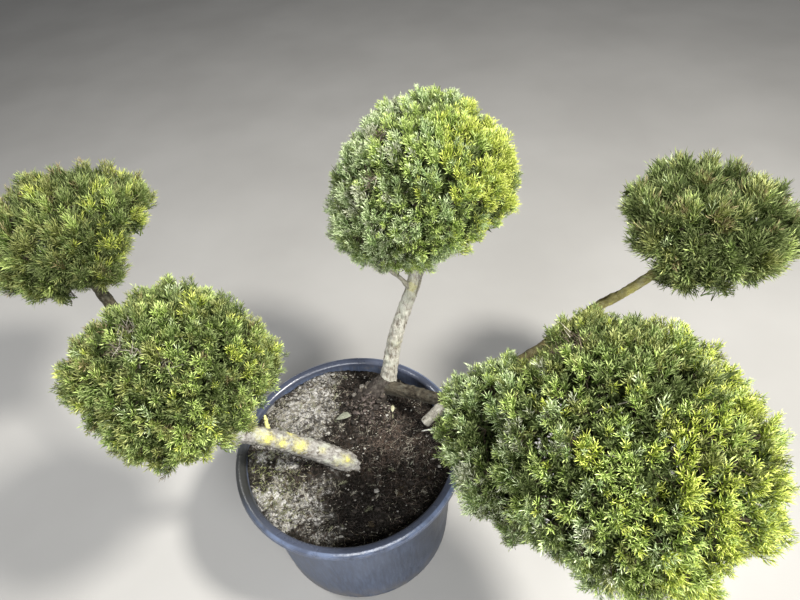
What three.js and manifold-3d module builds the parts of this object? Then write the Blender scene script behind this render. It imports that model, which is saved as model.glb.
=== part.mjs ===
// Pompom topiary conifer in a round nursery pot.
// Millimetres, +Z up, origin at the centre of the pot's underside, -Y is the front.
//
// Two bare stems rise from one root in the pot. The left stem leans out over the rim and
// carries the left front ball, with a bough that runs on to the left rear ball. The rear
// stem is a short stout trunk that forks low down into the centre bough and the right
// bough, and a long straight bough leaves the right one for the right rear ball.
// Each clipped ball of foliage is one uneven closed solid.

import * as THREE from 'three';
import { mergeVertices } from 'three/addons/utils/BufferGeometryUtils.js';
import Module from 'manifold-3d';

const wasm = await Module();
wasm.setup();

// ---------------------------------------------------------------- sizes
const GAP = 0.3;                 // clearance between touching pieces

const POT = {
  height: 370,
  lipRadius: 290,                // outer edge of the rolled lip
  lipDrop: 24,                   // height of the skirt that hangs from the lip
  lipWidth: 27,                  // from the mouth to the outer edge
  baseRadius: 239.5,
  wall: 3.5,
  floor: 5,
  sides: 48,
};

const SOIL = {
  pad: 330,                      // level of the soil round the feet of the stems
  lean: 13,                      // soil is higher on the left and lower on the right
  lumps: 4,
  padRadius: 66,
  rings: 8,
};

// Limbs: centre line, radius at each point of it, and flare at the foot.
const LIMB_SIDES = 8;
const LIMBS = {
  stem_left: {
    path: [[2, -36, 305], [-17, -26, 330], [-54, -19, 360], [-117, -16, 410], [-188, -30, 488], [-245, -54, 556], [-278, -64, 640], [-285, -66, 720]],
    radius: [27.5, 27, 26, 24.2, 21.5, 20.5, 20, 18],
    steps: 16, flare: 0.09, flareHeight: 22, ridges: 0.035, seed: 3,
  },
  trunk_rear: {
    path: [[34, 122, 296], [47, 134, 330], [78, 149, 360], [106, 160, 388], [116, 166, 404]],
    radius: [46, 42, 35, 30, 26],
    steps: 8, flare: 0.34, flareHeight: 30, ridges: 0.07, seed: 8,
  },
  bough_centre: {
    path: [[112, 162, 380], [123, 171, 420], [139, 188, 485], [158, 198, 550], [180, 207, 610], [203, 212, 670], [217, 218, 725], [230, 238, 800]],
    radius: [23, 21.5, 20.3, 19, 17.8, 16.4, 15.6, 13],
    steps: 14, ridges: 0.03, seed: 5,
  },
  bough_right: {
    path: [[104, 156, 384], [146, 126, 396], [195, 91, 411], [242, 51, 430], [284, 10, 455], [338, -76, 520], [384, -165, 590], [415, -225, 665]],
    radius: [21, 18.4, 17.2, 16.8, 16.4, 15.6, 14.6, 13],
    steps: 14, ridges: 0.04, seed: 11,
  },
  bough_right_rear: {
    path: [[258, 34, 438], [286, 42, 448], [432, 78, 496], [562, 101, 569], [640, 116, 627], [700, 119, 660], [772, 127, 707], [835, 138, 762]],
    radius: [15.4, 14.2, 13.4, 12.8, 12.5, 12.2, 11.6, 10.6],
    steps: 12, ridges: 0.03, seed: 14,
  },
  bough_left_rear: {
    path: [[-222, -44, 533], [-262, -16, 553], [-345, 66, 586], [-470, 204, 628], [-566, 322, 668], [-596, 362, 716], [-606, 384, 770]],
    radius: [19, 18, 17.2, 16.4, 15.4, 14.4, 12.5],
    steps: 14, ridges: 0.03, seed: 17,
  },
  stub_right: {
    path: [[256, 38, 432], [230, 29, 414], [197, 17, 388]],
    radius: [14.4, 14, 13.6],
    steps: 3, ridges: 0.02, seed: 20,
  },
};

// Balls of foliage: centre, half sizes, turn about Z, the bearing and height that the
// ball's face looks to, and how far its outline swells at eight places round that face,
// from the side (0) anticlockwise. trim is how much further it stands out, or is cut back,
// every 15 degrees round that rim. detail sets how finely the solid is faceted.
const BALLS = {
  foliage_centre: {
    centre: [242, 271, 938], half: [215, 215, 187], turn: 0, face: [-95.7, 32.5],
    swell: [7, 10, 4, -14, -5, 29, -7, -14],
    trim: [-2, 0, -10, -15, 0, 0, -1, 0, -2, -6, -11, -18, -4, 5, 15, 5, 3, 2, 15, -10, -14, -23, 1, 14],
    detail: 6, seed: 1,
  },
  foliage_left_front: {
    centre: [-289, -68, 801], half: [194, 194, 178], turn: 0, face: [-62.4, 43.9],
    swell: [-1, -5, -9, 16, -7, -5, -1, 10],
    trim: [10, -12, -13, -13, 5, 1, -7, -20, -17, -10, 0, 9, -13, -14, -4, -3, 6, 2, -2, -5, 0, -7, 12, 22],
    detail: 6, seed: 2,
  },
  foliage_left_rear: {
    centre: [-617, 407, 840], half: [190, 190, 156], turn: 0, face: [-59.6, 29.3],
    swell: [18, 12, -8, -2, 12, 10, 16, -11],
    trim: [17, 22, 4, 2, -2, -2, -4, -4, -17, -10, -3, 0, 1, 6, 7, 9, 4, -7, -4, 2, -3, -32, -32, -12],
    detail: 5, seed: 3,
  },
  foliage_right_rear: {
    centre: [871, 146, 836], half: [203, 203, 124], turn: 0, face: [-126.2, 33.5],
    swell: [4, -5, -10, 13, 0, -20, 16, -2],
    trim: [4, 1, 0, 2, -16, -20, -9, 5, 1, -3, -1, 0, 2, -7, -12, -18, -8, 17, 20, 12, 4, 6, 7, 14],
    detail: 6, seed: 4,
  },
  foliage_right_front: {
    centre: [483, -362, 804], half: [246, 217, 195], turn: -66, face: [-125.1, 54.5],
    swell: [1, -4, 5, -2, 1, -1, 3, -4],
    trim: [5, 4, 10, 11, 10, 4, 4, -6, 14, -2, -38, -22, -6, -2, -1, 0, 0, 0, 1, 2, 6, 14, -38, -2],
    detail: 7, seed: 5,
  },
  foliage_right_inner: {
    centre: [335, -275, 735], half: [150, 165, 125], turn: -20, face: [-109.2, 56.1],
    swell: [0, 0, 0, 10, -5, -24, 20, 15],
    trim: [0, 0, 0, 0, 0, 0, 1, 5, -8, -2, 4, 0, 3, 7, -7, -5, 7, -23, 13, 20, 12, 3, 1, 0],
    detail: 5, seed: 6,
  },
};
const SWELL_WIDTH = 30;          // degrees
const TRIM_DEPTH = 36;           // degrees in front of and behind the rim
const LUMP_LARGE = 0.020;        // share of the ball's size
const LUMP_SMALL = 0.012;

// ---------------------------------------------------------------- helpers
const RAD = Math.PI / 180;

function seeded(seed) {
  let s = (seed * 2654435761) >>> 0;
  return () => {
    s = (s + 0x6d2b79f5) >>> 0;
    let t = Math.imul(s ^ (s >>> 15), 1 | s);
    t = (t + Math.imul(t ^ (t >>> 7), 61 | t)) ^ t;
    return ((t ^ (t >>> 14)) >>> 0) / 4294967296;
  };
}

// Smooth noise in about -1..1: a few waves with seeded directions.
function waves(seed, count, frequency) {
  const random = seeded(seed);
  const list = [];
  for (let i = 0; i < count; i++) {
    const z = 2 * random() - 1;
    const a = 2 * Math.PI * random();
    const r = Math.sqrt(1 - z * z);
    const k = frequency * (0.75 + 0.5 * random());
    list.push({ k: new THREE.Vector3(r * Math.cos(a), r * Math.sin(a), z).multiplyScalar(k), phase: 2 * Math.PI * random() });
  }
  return (v) => list.reduce((sum, w) => sum + Math.sin(w.k.dot(v) + w.phase), 0) / Math.sqrt(count);
}

function welded(geometry) {
  const g = geometry.clone();
  g.deleteAttribute('normal');
  g.deleteAttribute('uv');
  return mergeVertices(g, 1e-3);
}

function toSolid(geometry) {
  const g = welded(geometry);
  return new wasm.Manifold(new wasm.Mesh({
    numProp: 3,
    vertProperties: new Float32Array(g.attributes.position.array),
    triVerts: new Uint32Array(g.index.array),
  }));
}

function toGeometry(solid) {
  const m = solid.getMesh();
  const g = new THREE.BufferGeometry();
  const step = m.numProp;
  const n = m.vertProperties.length / step;
  const position = new Float32Array(n * 3);
  for (let i = 0; i < n; i++) {
    for (let k = 0; k < 3; k++) position[3 * i + k] = m.vertProperties[step * i + k];
  }
  g.setAttribute('position', new THREE.BufferAttribute(position, 3));
  g.setIndex(new THREE.BufferAttribute(new Uint32Array(m.triVerts), 1));
  g.computeVertexNormals();
  return g;
}

function sampleAt(list, t) {
  const x = t * (list.length - 1);
  const i = Math.min(Math.floor(x), list.length - 2);
  return THREE.MathUtils.lerp(list[i], list[i + 1], x - i);
}

// ---------------------------------------------------------------- pot
function innerRadius(z) {
  const mouth = POT.lipRadius - POT.lipWidth;
  const base = POT.baseRadius - POT.wall;
  return base + (mouth - base) * (z - POT.floor) / (POT.height - 6 - POT.floor);
}

function potGeometry() {
  const H = POT.height;
  const R = POT.lipRadius;
  const mouth = R - POT.lipWidth;
  const outer = (z) => POT.baseRadius + (mouth + POT.wall - POT.baseRadius) * z / (H - 6);
  const profile = [
    [0, 0],
    [POT.baseRadius - 4, 0],
    [outer(4), 4],
    [outer(H - 9), H - 9],
    [R - 20, H - 6.5],
    [R - 7, H - 6.5],
    [R - 3.5, H - POT.lipDrop],
    [R - 0.5, H - POT.lipDrop],
    [R, H - POT.lipDrop + 3],
    [R - 0.8, H - 8],
    [R - 4.6, H - 2.2],
    [R - 12.5, H],
    [R - 21.5, H - 2],
    [innerRadius(H - 11), H - 11],
    [innerRadius(POT.floor + 4), POT.floor + 4],
    [innerRadius(POT.floor) - 5, POT.floor],
    [0, POT.floor],
  ].map(([r, z]) => new THREE.Vector2(r, z));
  const g = new THREE.LatheGeometry(profile, POT.sides);
  g.rotateX(Math.PI / 2);
  return g;
}

// ---------------------------------------------------------------- soil
const FEET = [[-17, -24, 1.0], [47, 134, 1.15]];

function soilHeight(x, y) {
  const bump = waves(41, 5, 0.021);
  const fine = waves(42, 5, 0.06);
  const p = new THREE.Vector3(x, y, 0);
  const R = innerRadius(SOIL.pad);
  let z = SOIL.pad - SOIL.lean * x / R + 4 * y / R + SOIL.lumps * bump(p) + 0.35 * SOIL.lumps * fine(p);
  for (const [fx, fy, size] of FEET) {
    const d = Math.hypot(x - fx, y - fy);
    const near = 1 - THREE.MathUtils.smoothstep(d, SOIL.padRadius * size, SOIL.padRadius * size + 45);
    z = THREE.MathUtils.lerp(z, SOIL.pad, near);
  }
  return z;
}

function soilGeometry() {
  const low = POT.floor + GAP + 0.2;
  const edge = SOIL.pad - 8;
  const profile = [new THREE.Vector2(0, low), new THREE.Vector2(innerRadius(POT.floor + 4) - 8, low), new THREE.Vector2(innerRadius(low + 6) - 1, low + 6)];
  const edgeRadius = innerRadius(edge) - 1;
  profile.push(new THREE.Vector2(edgeRadius, edge));
  for (let i = 1; i < SOIL.rings; i++) profile.push(new THREE.Vector2(edgeRadius * (1 - i / SOIL.rings), edge + 1));
  profile.push(new THREE.Vector2(0, edge + 1));
  const g = new THREE.LatheGeometry(profile, 40);
  g.rotateX(Math.PI / 2);
  const position = g.attributes.position;
  for (let i = 0; i < position.count; i++) {
    if (position.getZ(i) < edge - 1) continue;
    const x = position.getX(i);
    const y = position.getY(i);
    const z = soilHeight(x, y);
    const r = Math.hypot(x, y);
    if (r > edgeRadius - 1) {
      const reach = innerRadius(z) - 1;
      position.setXYZ(i, x * reach / r, y * reach / r, z);
    } else {
      position.setZ(i, z);
    }
  }
  return g;
}

// ---------------------------------------------------------------- limbs
// A cylinder bent along the limb's centre line, tapering, with shallow ridges and, at a
// foot, root flare.
function limbGeometry(limb, grow = 0) {
  const curve = new THREE.CatmullRomCurve3(limb.path.map((p) => new THREE.Vector3(...p)), false, 'centripetal');
  const steps = limb.steps;
  const frames = curve.computeFrenetFrames(steps, false);
  const wobble = waves(limb.seed, 4, 1.0);
  const g = new THREE.CylinderGeometry(1, 1, 1, LIMB_SIDES, steps);
  const position = g.attributes.position;
  const footZ = limb.path[0][2];
  for (let i = 0; i < position.count; i++) {
    const t = position.getY(i) + 0.5;
    const k = Math.round(t * steps);
    const px = position.getX(i);
    const pz = position.getZ(i);
    const u = curve.getUtoTmapping(t);
    const centre = curve.getPoint(u);
    let radius = sampleAt(limb.radius, u);
    const angle = Math.atan2(pz, px);
    const away = Math.hypot(px, pz);
    if (limb.flare) {
      const rise = Math.max(0, centre.z - Math.max(footZ, SOIL.pad));
      radius *= 1 + limb.flare * Math.exp(-rise / limb.flareHeight) * (0.7 + 0.3 * Math.cos(3 * angle + limb.seed));
    }
    radius *= 1 + limb.ridges * wobble(new THREE.Vector3(2 * Math.cos(angle), 2 * Math.sin(angle), 9 * t));
    radius += grow;
    const off = frames.binormals[k].clone().multiplyScalar(px).addScaledVector(frames.normals[k], pz);
    if (away < 1e-6) off.set(0, 0, 0);
    const end = grow && (k === 0 || k === steps) ? frames.tangents[k].clone().multiplyScalar(k === 0 ? -grow : grow) : new THREE.Vector3();
    position.setXYZ(i, centre.x + off.x * radius + end.x, centre.y + off.y * radius + end.y, centre.z + off.z * radius + end.z);
  }
  return g;
}

// ---------------------------------------------------------------- balls of foliage
function ballGeometry(ball, grow = 0) {
  const [azimuth, elevation] = ball.face.map((d) => d * RAD);
  const face = new THREE.Vector3(Math.cos(elevation) * Math.cos(azimuth), Math.cos(elevation) * Math.sin(azimuth), Math.sin(elevation));
  const side = new THREE.Vector3(0, 0, 1).cross(face).normalize();
  const up = face.clone().cross(side);
  const places = ball.swell.map((amount, k) => {
    const a = 2 * Math.PI * k / ball.swell.length;
    return { amount, d: side.clone().multiplyScalar(Math.cos(a)).addScaledVector(up, Math.sin(a)) };
  });
  const trimAt = (bearing) => {
    const n = ball.trim.length;
    const x = ((bearing / (2 * Math.PI)) % 1 + 1) % 1 * n;
    const i = Math.floor(x);
    return THREE.MathUtils.lerp(ball.trim[i % n], ball.trim[(i + 1) % n], THREE.MathUtils.smoothstep(x - i, 0, 1));
  };
  const large = waves(100 + ball.seed, 6, 3.2);
  const small = waves(200 + ball.seed, 8, 8.5);
  const size = (ball.half[0] + ball.half[1] + ball.half[2]) / 3;
  const centre = new THREE.Vector3(...ball.centre);
  const g = new THREE.IcosahedronGeometry(1, ball.detail);
  const position = g.attributes.position;
  const p = new THREE.Vector3();
  for (let i = 0; i < position.count; i++) {
    const unit = new THREE.Vector3().fromBufferAttribute(position, i);
    p.set(unit.x * ball.half[0], unit.y * ball.half[1], unit.z * ball.half[2]);
    p.applyAxisAngle(new THREE.Vector3(0, 0, 1), ball.turn * RAD);
    const d = p.clone().normalize();
    let out = grow + size * (LUMP_LARGE * large(unit) + LUMP_SMALL * small(unit));
    for (const place of places) {
      const angle = Math.acos(THREE.MathUtils.clamp(d.dot(place.d), -1, 1)) / RAD;
      out += place.amount * Math.exp(-((angle / SWELL_WIDTH) ** 2));
    }
    const off = Math.asin(THREE.MathUtils.clamp(d.dot(face), -1, 1)) / RAD;
    out += trimAt(Math.atan2(d.dot(up), d.dot(side))) * Math.exp(-((off / TRIM_DEPTH) ** 2));
    p.addScaledVector(d, out).add(centre);
    position.setXYZ(i, p.x, p.y, p.z);
  }
  return g;
}

// ---------------------------------------------------------------- materials
const colours = {
  pot: [0x3f454b, 0.45],
  soil: [0x6f655a, 0.95],
  pale_bark: [0xc3bfb4, 0.9],
  brown_bark: [0x8d7f6c, 0.9],
  foliage_sage: [0x76916a, 0.85],
  foliage_green: [0x6f8a3f, 0.85],
};

function paint(kind) {
  const [colour, roughness] = colours[kind];
  return new THREE.MeshStandardMaterial({ color: colour, roughness, metalness: 0 });
}

// ---------------------------------------------------------------- assembly
const group = new THREE.Group();
group.name = 'pompom_topiary';

function add(name, geometry, kind) {
  const mesh = new THREE.Mesh(geometry, paint(kind));
  mesh.name = name;
  group.add(mesh);
}

const ballSolid = {};
const ballSkin = {};
for (const [name, ball] of Object.entries(BALLS)) {
  ballSolid[name] = toSolid(ballGeometry(ball));
  ballSkin[name] = toSolid(ballGeometry(ball, GAP + 0.2));
}
ballSolid.foliage_right_inner = ballSolid.foliage_right_inner.subtract(ballSkin.foliage_right_front);

const limbSolid = {};
const limbSkin = {};
for (const [name, limb] of Object.entries(LIMBS)) {
  limbSolid[name] = toSolid(limbGeometry(limb));
  limbSkin[name] = toSolid(limbGeometry(limb, GAP + 0.2));
}

// The feet are cut flat where they leave the soil.
const below = new THREE.BoxGeometry(1000, 1000, 200);
below.translate(0, 0, SOIL.pad + GAP - 100);
const ground = toSolid(below);
for (const name of ['stem_left', 'trunk_rear']) limbSolid[name] = limbSolid[name].subtract(ground);

// Each bough starts at the skin of the limb it grows from, and ends at the ball it enters.
const cutters = {
  stem_left: [ballSkin.foliage_left_front],
  trunk_rear: [],
  bough_centre: [limbSkin.trunk_rear, ballSkin.foliage_centre],
  bough_right: [limbSkin.trunk_rear, limbSkin.bough_centre, ballSkin.foliage_right_front, ballSkin.foliage_right_inner],
  bough_right_rear: [limbSkin.bough_right, ballSkin.foliage_right_rear],
  bough_left_rear: [limbSkin.stem_left, ballSkin.foliage_left_rear],
  stub_right: [limbSkin.bough_right, limbSkin.bough_right_rear],
};

// The soil lies close round the feet without touching them.
const underFeet = new THREE.BoxGeometry(1000, 1000, 200);
underFeet.translate(0, 0, SOIL.pad - 100);
const deep = toSolid(underFeet);
let soil = toSolid(soilGeometry());
for (const name of ['stem_left', 'trunk_rear']) soil = soil.subtract(limbSkin[name].subtract(deep));

add('pot', potGeometry(), 'pot');
add('soil', toGeometry(soil), 'soil');
for (const [name, list] of Object.entries(cutters)) {
  let solid = limbSolid[name];
  for (const cutter of list) solid = solid.subtract(cutter);
  // a tip left on the far side of a cutter is dropped: only the largest piece is the limb
  const pieces = solid.decompose();
  solid = pieces.reduce((a, b) => (a.volume() > b.volume() ? a : b));
  add(name, toGeometry(solid), name === 'stem_left' || name === 'bough_centre' ? 'pale_bark' : 'brown_bark');
}
for (const name of Object.keys(BALLS)) {
  const sage = name === 'foliage_centre' || name === 'foliage_right_inner' || name === 'foliage_right_rear';
  add(name, toGeometry(ballSolid[name]), sage ? 'foliage_sage' : 'foliage_green');
}

export default group;
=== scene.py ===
import math

import bpy
import numpy as np
from mathutils import Matrix, Vector
from mathutils.bvhtree import BVHTree
from mathutils.kdtree import KDTree


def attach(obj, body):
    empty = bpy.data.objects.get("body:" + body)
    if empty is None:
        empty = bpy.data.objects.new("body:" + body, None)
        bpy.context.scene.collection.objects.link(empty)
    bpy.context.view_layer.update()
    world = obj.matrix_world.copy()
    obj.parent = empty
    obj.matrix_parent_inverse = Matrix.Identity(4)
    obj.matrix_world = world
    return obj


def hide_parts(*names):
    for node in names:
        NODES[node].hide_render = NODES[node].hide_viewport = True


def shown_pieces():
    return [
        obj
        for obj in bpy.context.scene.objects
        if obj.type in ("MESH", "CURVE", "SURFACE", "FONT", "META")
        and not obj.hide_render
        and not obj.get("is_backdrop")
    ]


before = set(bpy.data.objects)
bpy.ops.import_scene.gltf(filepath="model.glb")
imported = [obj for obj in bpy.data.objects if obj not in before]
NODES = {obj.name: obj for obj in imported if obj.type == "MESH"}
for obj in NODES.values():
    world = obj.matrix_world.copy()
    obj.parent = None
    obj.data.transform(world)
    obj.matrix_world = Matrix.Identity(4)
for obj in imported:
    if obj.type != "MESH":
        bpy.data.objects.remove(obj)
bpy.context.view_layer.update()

MM = 0.001

# ------------------------------------------------------------------ camera and light

RIGHT = Vector((0.991444, -0.108867, -0.072016))
UP = Vector((0.127167, 0.681132, 0.721032))
AHEAD = Vector((0.029444, 0.724022, -0.689148))
camera_data = bpy.data.cameras.new("camera")
camera_data.sensor_width = 36.0
camera_data.sensor_fit = "HORIZONTAL"
camera_data.lens = 599.38 / 800 * 36.0
camera_data.clip_start = 0.02
camera_data.clip_end = 60.0
camera = bpy.data.objects.new("camera", camera_data)
camera.matrix_world = Matrix((
    (RIGHT.x, UP.x, -AHEAD.x, 0.129),
    (RIGHT.y, UP.y, -AHEAD.y, -0.866),
    (RIGHT.z, UP.z, -AHEAD.z, 1.667),
    (0, 0, 0, 1),
))
bpy.context.scene.collection.objects.link(camera)
bpy.context.scene.camera = camera


def area_light(name, place, target, size, power, colour, tall=None):
    data = bpy.data.lights.new(name, "AREA")
    data.shape = "RECTANGLE" if tall else "DISK"
    data.size = size
    if tall:
        data.size_y = tall
    data.energy = power
    data.color = colour
    lamp = bpy.data.objects.new(name, data)
    lamp.location = place
    lamp.rotation_mode = "QUATERNION"
    lamp.rotation_quaternion = (Vector(target) - Vector(place)).to_track_quat("-Z", "Y")
    bpy.context.scene.collection.objects.link(lamp)


area_light("key", (1.90, -0.75, 3.4), (0.1, 0.0, 0.6), 0.55, 225, (1.0, 0.975, 0.92))
area_light("left", (-2.0, 0.7, 3.2), (-0.1, 0.0, 0.6), 0.8, 66, (0.98, 0.99, 1.0))
area_light("front", (0.35, -2.2, 2.25), (0.05, -0.1, 0.45), 2.2, 92, (0.97, 0.985, 1.0), 0.85)
world = bpy.data.worlds.new("soft room")
world.use_nodes = True
world.node_tree.nodes["Background"].inputs["Color"].default_value = (0.92, 0.95, 1.0, 1)
world.node_tree.nodes["Background"].inputs["Strength"].default_value = 0.20
bpy.context.scene.world = world
bpy.context.scene.view_settings.view_transform = "Standard"
bpy.context.scene.view_settings.look = "None"

# ------------------------------------------------------------------ small helpers


def unit(v):
    return v / np.maximum(np.linalg.norm(v, axis=-1, keepdims=True), 1e-12)


def smooth(lo, hi, x):
    t = np.clip((np.asarray(x, float) - lo) / (hi - lo), 0, 1)
    return t * t * (3 - 2 * t)


def hashed(ix, iy, iz, seed):
    h = (ix * 374761393 + iy * 668265263 + iz * 2147483647 + seed * 1274126177) & 0xFFFFFFFF
    h = ((h ^ (h >> 13)) * 1274126177) & 0xFFFFFFFF
    return ((h ^ (h >> 16)) & 0xFFFFFF) / float(0xFFFFFF)


def value_noise(p, seed=0):
    """Smooth noise between -1 and 1 at the points p."""
    p = np.asarray(p, float)
    cell = np.floor(p).astype(np.int64)
    f = p - cell
    f = f * f * f * (f * (f * 6 - 15) + 10)
    total = np.zeros(len(p))
    for dx in (0, 1):
        for dy in (0, 1):
            for dz in (0, 1):
                w = (
                    (f[:, 0] if dx else 1 - f[:, 0])
                    * (f[:, 1] if dy else 1 - f[:, 1])
                    * (f[:, 2] if dz else 1 - f[:, 2])
                )
                total += w * hashed(cell[:, 0] + dx, cell[:, 1] + dy, cell[:, 2] + dz, seed)
    return total * 2 - 1


def layered(p, octaves=3, seed=0, gain=0.5):
    total, amp, size = np.zeros(len(p)), 1.0, 0.0
    for k in range(octaves):
        total += amp * value_noise(p * 2.03**k + 17.3 * k, seed + k)
        size += amp
        amp *= gain
    return total / size


def mesh_piece(name, verts, faces, materials, index=None, soft=False, slot=None, stands_for=()):
    """faces is one array, or a list of arrays with differing corner counts."""
    me = bpy.data.meshes.new(name)
    verts = np.ascontiguousarray(verts, np.float32)
    groups = [np.asarray(g, np.int32) for g in (faces if isinstance(faces, list) else [faces])]
    sizes = np.concatenate([np.full(len(g), g.shape[1], np.int32) for g in groups])
    corners = np.concatenate([g.ravel() for g in groups])
    me.vertices.add(len(verts))
    me.vertices.foreach_set("co", verts.ravel())
    me.loops.add(len(corners))
    me.loops.foreach_set("vertex_index", corners)
    me.polygons.add(len(sizes))
    me.polygons.foreach_set("loop_start", np.concatenate([[0], np.cumsum(sizes)[:-1]]).astype(np.int32))
    for m in materials:
        me.materials.append(m)
    if index is not None:
        me.polygons.foreach_set("material_index", np.asarray(index, np.int32))
    me.polygons.foreach_set("use_smooth", np.full(len(sizes), bool(soft)))
    me.update(calc_edges=True)
    piece = bpy.data.objects.new(name, me)
    bpy.context.scene.collection.objects.link(piece)
    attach(piece, "root")
    if stands_for:
        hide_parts(*stands_for)
    return piece


# ------------------------------------------------------------------ materials


class Shader:
    """One procedural material: a Principled shader with nodes for its colour, roughness and bump."""

    def __init__(self, name):
        self.m = bpy.data.materials.new(name)
        self.m.use_nodes = True
        self.t = self.m.node_tree
        self.s = self.t.nodes["Principled BSDF"]
        self.place = self.t.nodes.new("ShaderNodeTexCoord").outputs["Object"]

    def node(self, kind, **inputs):
        n = self.t.nodes.new(kind)
        for key, value in inputs.items():
            self.put(n.inputs[key.replace("_", " ")], value)
        return n

    def put(self, socket, value):
        if isinstance(value, bpy.types.NodeSocket):
            self.t.links.new(value, socket)
        elif hasattr(socket.default_value, "__len__") and not hasattr(value, "__len__"):
            socket.default_value = (value,) * len(socket.default_value)
        elif hasattr(value, "__len__") and len(value) == 3 and len(socket.default_value) == 4:
            socket.default_value = (*value, 1)
        else:
            socket.default_value = value

    def stretched(self, scale, turn=(0, 0, 0), place=(0, 0, 0)):
        n = self.node("ShaderNodeMapping", Vector=self.place, Scale=scale, Rotation=turn, Location=place)
        return n.outputs["Vector"]

    def noise(self, scale, detail=3.0, rough=0.55, vector=None, distortion=0.0):
        n = self.node("ShaderNodeTexNoise", Vector=vector or self.place, Scale=scale, Detail=detail, Roughness=rough)
        n.inputs["Distortion"].default_value = distortion
        return n.outputs["Fac"]

    def cells(self, scale, vector=None, feature="F1", out="Distance", random=1.0):
        n = self.t.nodes.new("ShaderNodeTexVoronoi")
        n.feature = feature
        self.put(n.inputs["Vector"], vector or self.place)
        n.inputs["Scale"].default_value = scale
        n.inputs["Randomness"].default_value = random
        return n.outputs[out]

    def ramp(self, fac, *stops, ease="LINEAR"):
        n = self.t.nodes.new("ShaderNodeValToRGB")
        n.color_ramp.interpolation = ease
        e = n.color_ramp.elements
        while len(e) < len(stops):
            e.new(0.5)
        for k, (at, colour) in enumerate(stops):
            e[k].position = at
            colour = (colour,) * 3 if not hasattr(colour, "__len__") else colour
            e[k].color = (*colour, 1)
        self.put(n.inputs["Fac"], fac)
        return n.outputs["Color"]

    def mix(self, fac, a, b, how="MIX"):
        n = self.t.nodes.new("ShaderNodeMix")
        n.data_type = "RGBA"
        n.blend_type = how
        n.clamp_factor = True
        self.put(n.inputs[0], fac)
        self.put(n.inputs[6], a)
        self.put(n.inputs[7], b)
        return n.outputs[2]

    def math(self, how, a, b=0.0, clamp=False):
        n = self.t.nodes.new("ShaderNodeMath")
        n.operation = how
        n.use_clamp = clamp
        self.put(n.inputs[0], a)
        self.put(n.inputs[1], b)
        return n.outputs[0]

    def near(self, point, inner, outer):
        """1 within inner metres of the point, 0 beyond outer."""
        d = self.t.nodes.new("ShaderNodeVectorMath")
        d.operation = "DISTANCE"
        self.put(d.inputs[0], self.place)
        d.inputs[1].default_value = point
        return self.span(d.outputs["Value"], outer, inner)

    def span(self, value, lo, hi):
        n = self.t.nodes.new("ShaderNodeMapRange")
        n.clamp = True
        self.put(n.inputs["Value"], value)
        n.inputs["From Min"].default_value = lo
        n.inputs["From Max"].default_value = hi
        return n.outputs["Result"]

    def axis(self, which):
        n = self.t.nodes.new("ShaderNodeSeparateXYZ")
        self.put(n.inputs[0], self.place)
        return n.outputs[which]

    def bump(self, height, distance, strength=1.0, after=None):
        n = self.t.nodes.new("ShaderNodeBump")
        n.inputs["Strength"].default_value = strength
        n.inputs["Distance"].default_value = distance
        self.put(n.inputs["Height"], height)
        if after is not None:
            self.put(n.inputs["Normal"], after)
        return n.outputs["Normal"]

    def finish(self, colour, roughness, normal=None, **fixed):
        self.put(self.s.inputs["Base Color"], colour)
        self.put(self.s.inputs["Roughness"], roughness)
        if normal is not None:
            self.put(self.s.inputs["Normal"], normal)
        for key, value in fixed.items():
            self.put(self.s.inputs[key.replace("_", " ")], value)
        return self.m


def leaf_material(name, dark, pale, rough=0.62):
    """Scale leaves: two close shades in fine flecks, with a soft waxy sheen."""
    s = Shader(name)
    fleck = s.noise(420.0, 2.0, 0.6)
    colour = s.ramp(fleck, (0.34, dark), (0.66, pale))
    grain = s.noise(900.0, 1.0, 0.5)
    return s.finish(colour, s.ramp(fleck, (0.3, rough - 0.08), (0.7, rough + 0.1)), s.bump(grain, 0.0004, 0.5),
                    Specular_IOR_Level=0.22)


def twig_material(name, dark, pale):
    s = Shader(name)
    streak = s.noise(260.0, 3.0, 0.6)
    colour = s.ramp(streak, (0.32, dark), (0.68, pale))
    return s.finish(colour, 0.85, s.bump(s.noise(700.0, 2.0, 0.6), 0.0006, 0.7))


LEAF = {
    # tint: (body dark, body pale, tip dark, tip pale)
    "sage": ((0.100, 0.165, 0.072), (0.215, 0.300, 0.140), (0.410, 0.490, 0.265), (0.640, 0.710, 0.430)),
    "mint": ((0.078, 0.148, 0.058), (0.180, 0.278, 0.112), (0.360, 0.455, 0.212), (0.545, 0.640, 0.345)),
    "grey": ((0.105, 0.128, 0.082), (0.200, 0.228, 0.148), (0.380, 0.400, 0.285), (0.560, 0.570, 0.430)),
    "fresh": ((0.096, 0.168, 0.032), (0.214, 0.312, 0.072), (0.415, 0.512, 0.155), (0.605, 0.695, 0.262)),
    "green": ((0.045, 0.084, 0.018), (0.106, 0.168, 0.040), (0.204, 0.265, 0.083), (0.345, 0.402, 0.165)),
    "olive": ((0.055, 0.074, 0.017), (0.124, 0.150, 0.035), (0.246, 0.270, 0.083), (0.395, 0.412, 0.172)),
    "yellow": ((0.120, 0.170, 0.020), (0.250, 0.325, 0.044), (0.490, 0.560, 0.105), (0.700, 0.760, 0.210)),
    "dark": ((0.025, 0.045, 0.011), (0.064, 0.098, 0.024), (0.138, 0.174, 0.058), (0.240, 0.280, 0.114)),
    "brown": ((0.062, 0.052, 0.023), (0.125, 0.103, 0.046), (0.240, 0.200, 0.095), (0.370, 0.315, 0.170)),
}
times = lambda colour, f, blue=1.0: tuple(min(0.80, v * f * g) for v, g in zip(colour, (1, 1, blue)))
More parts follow.
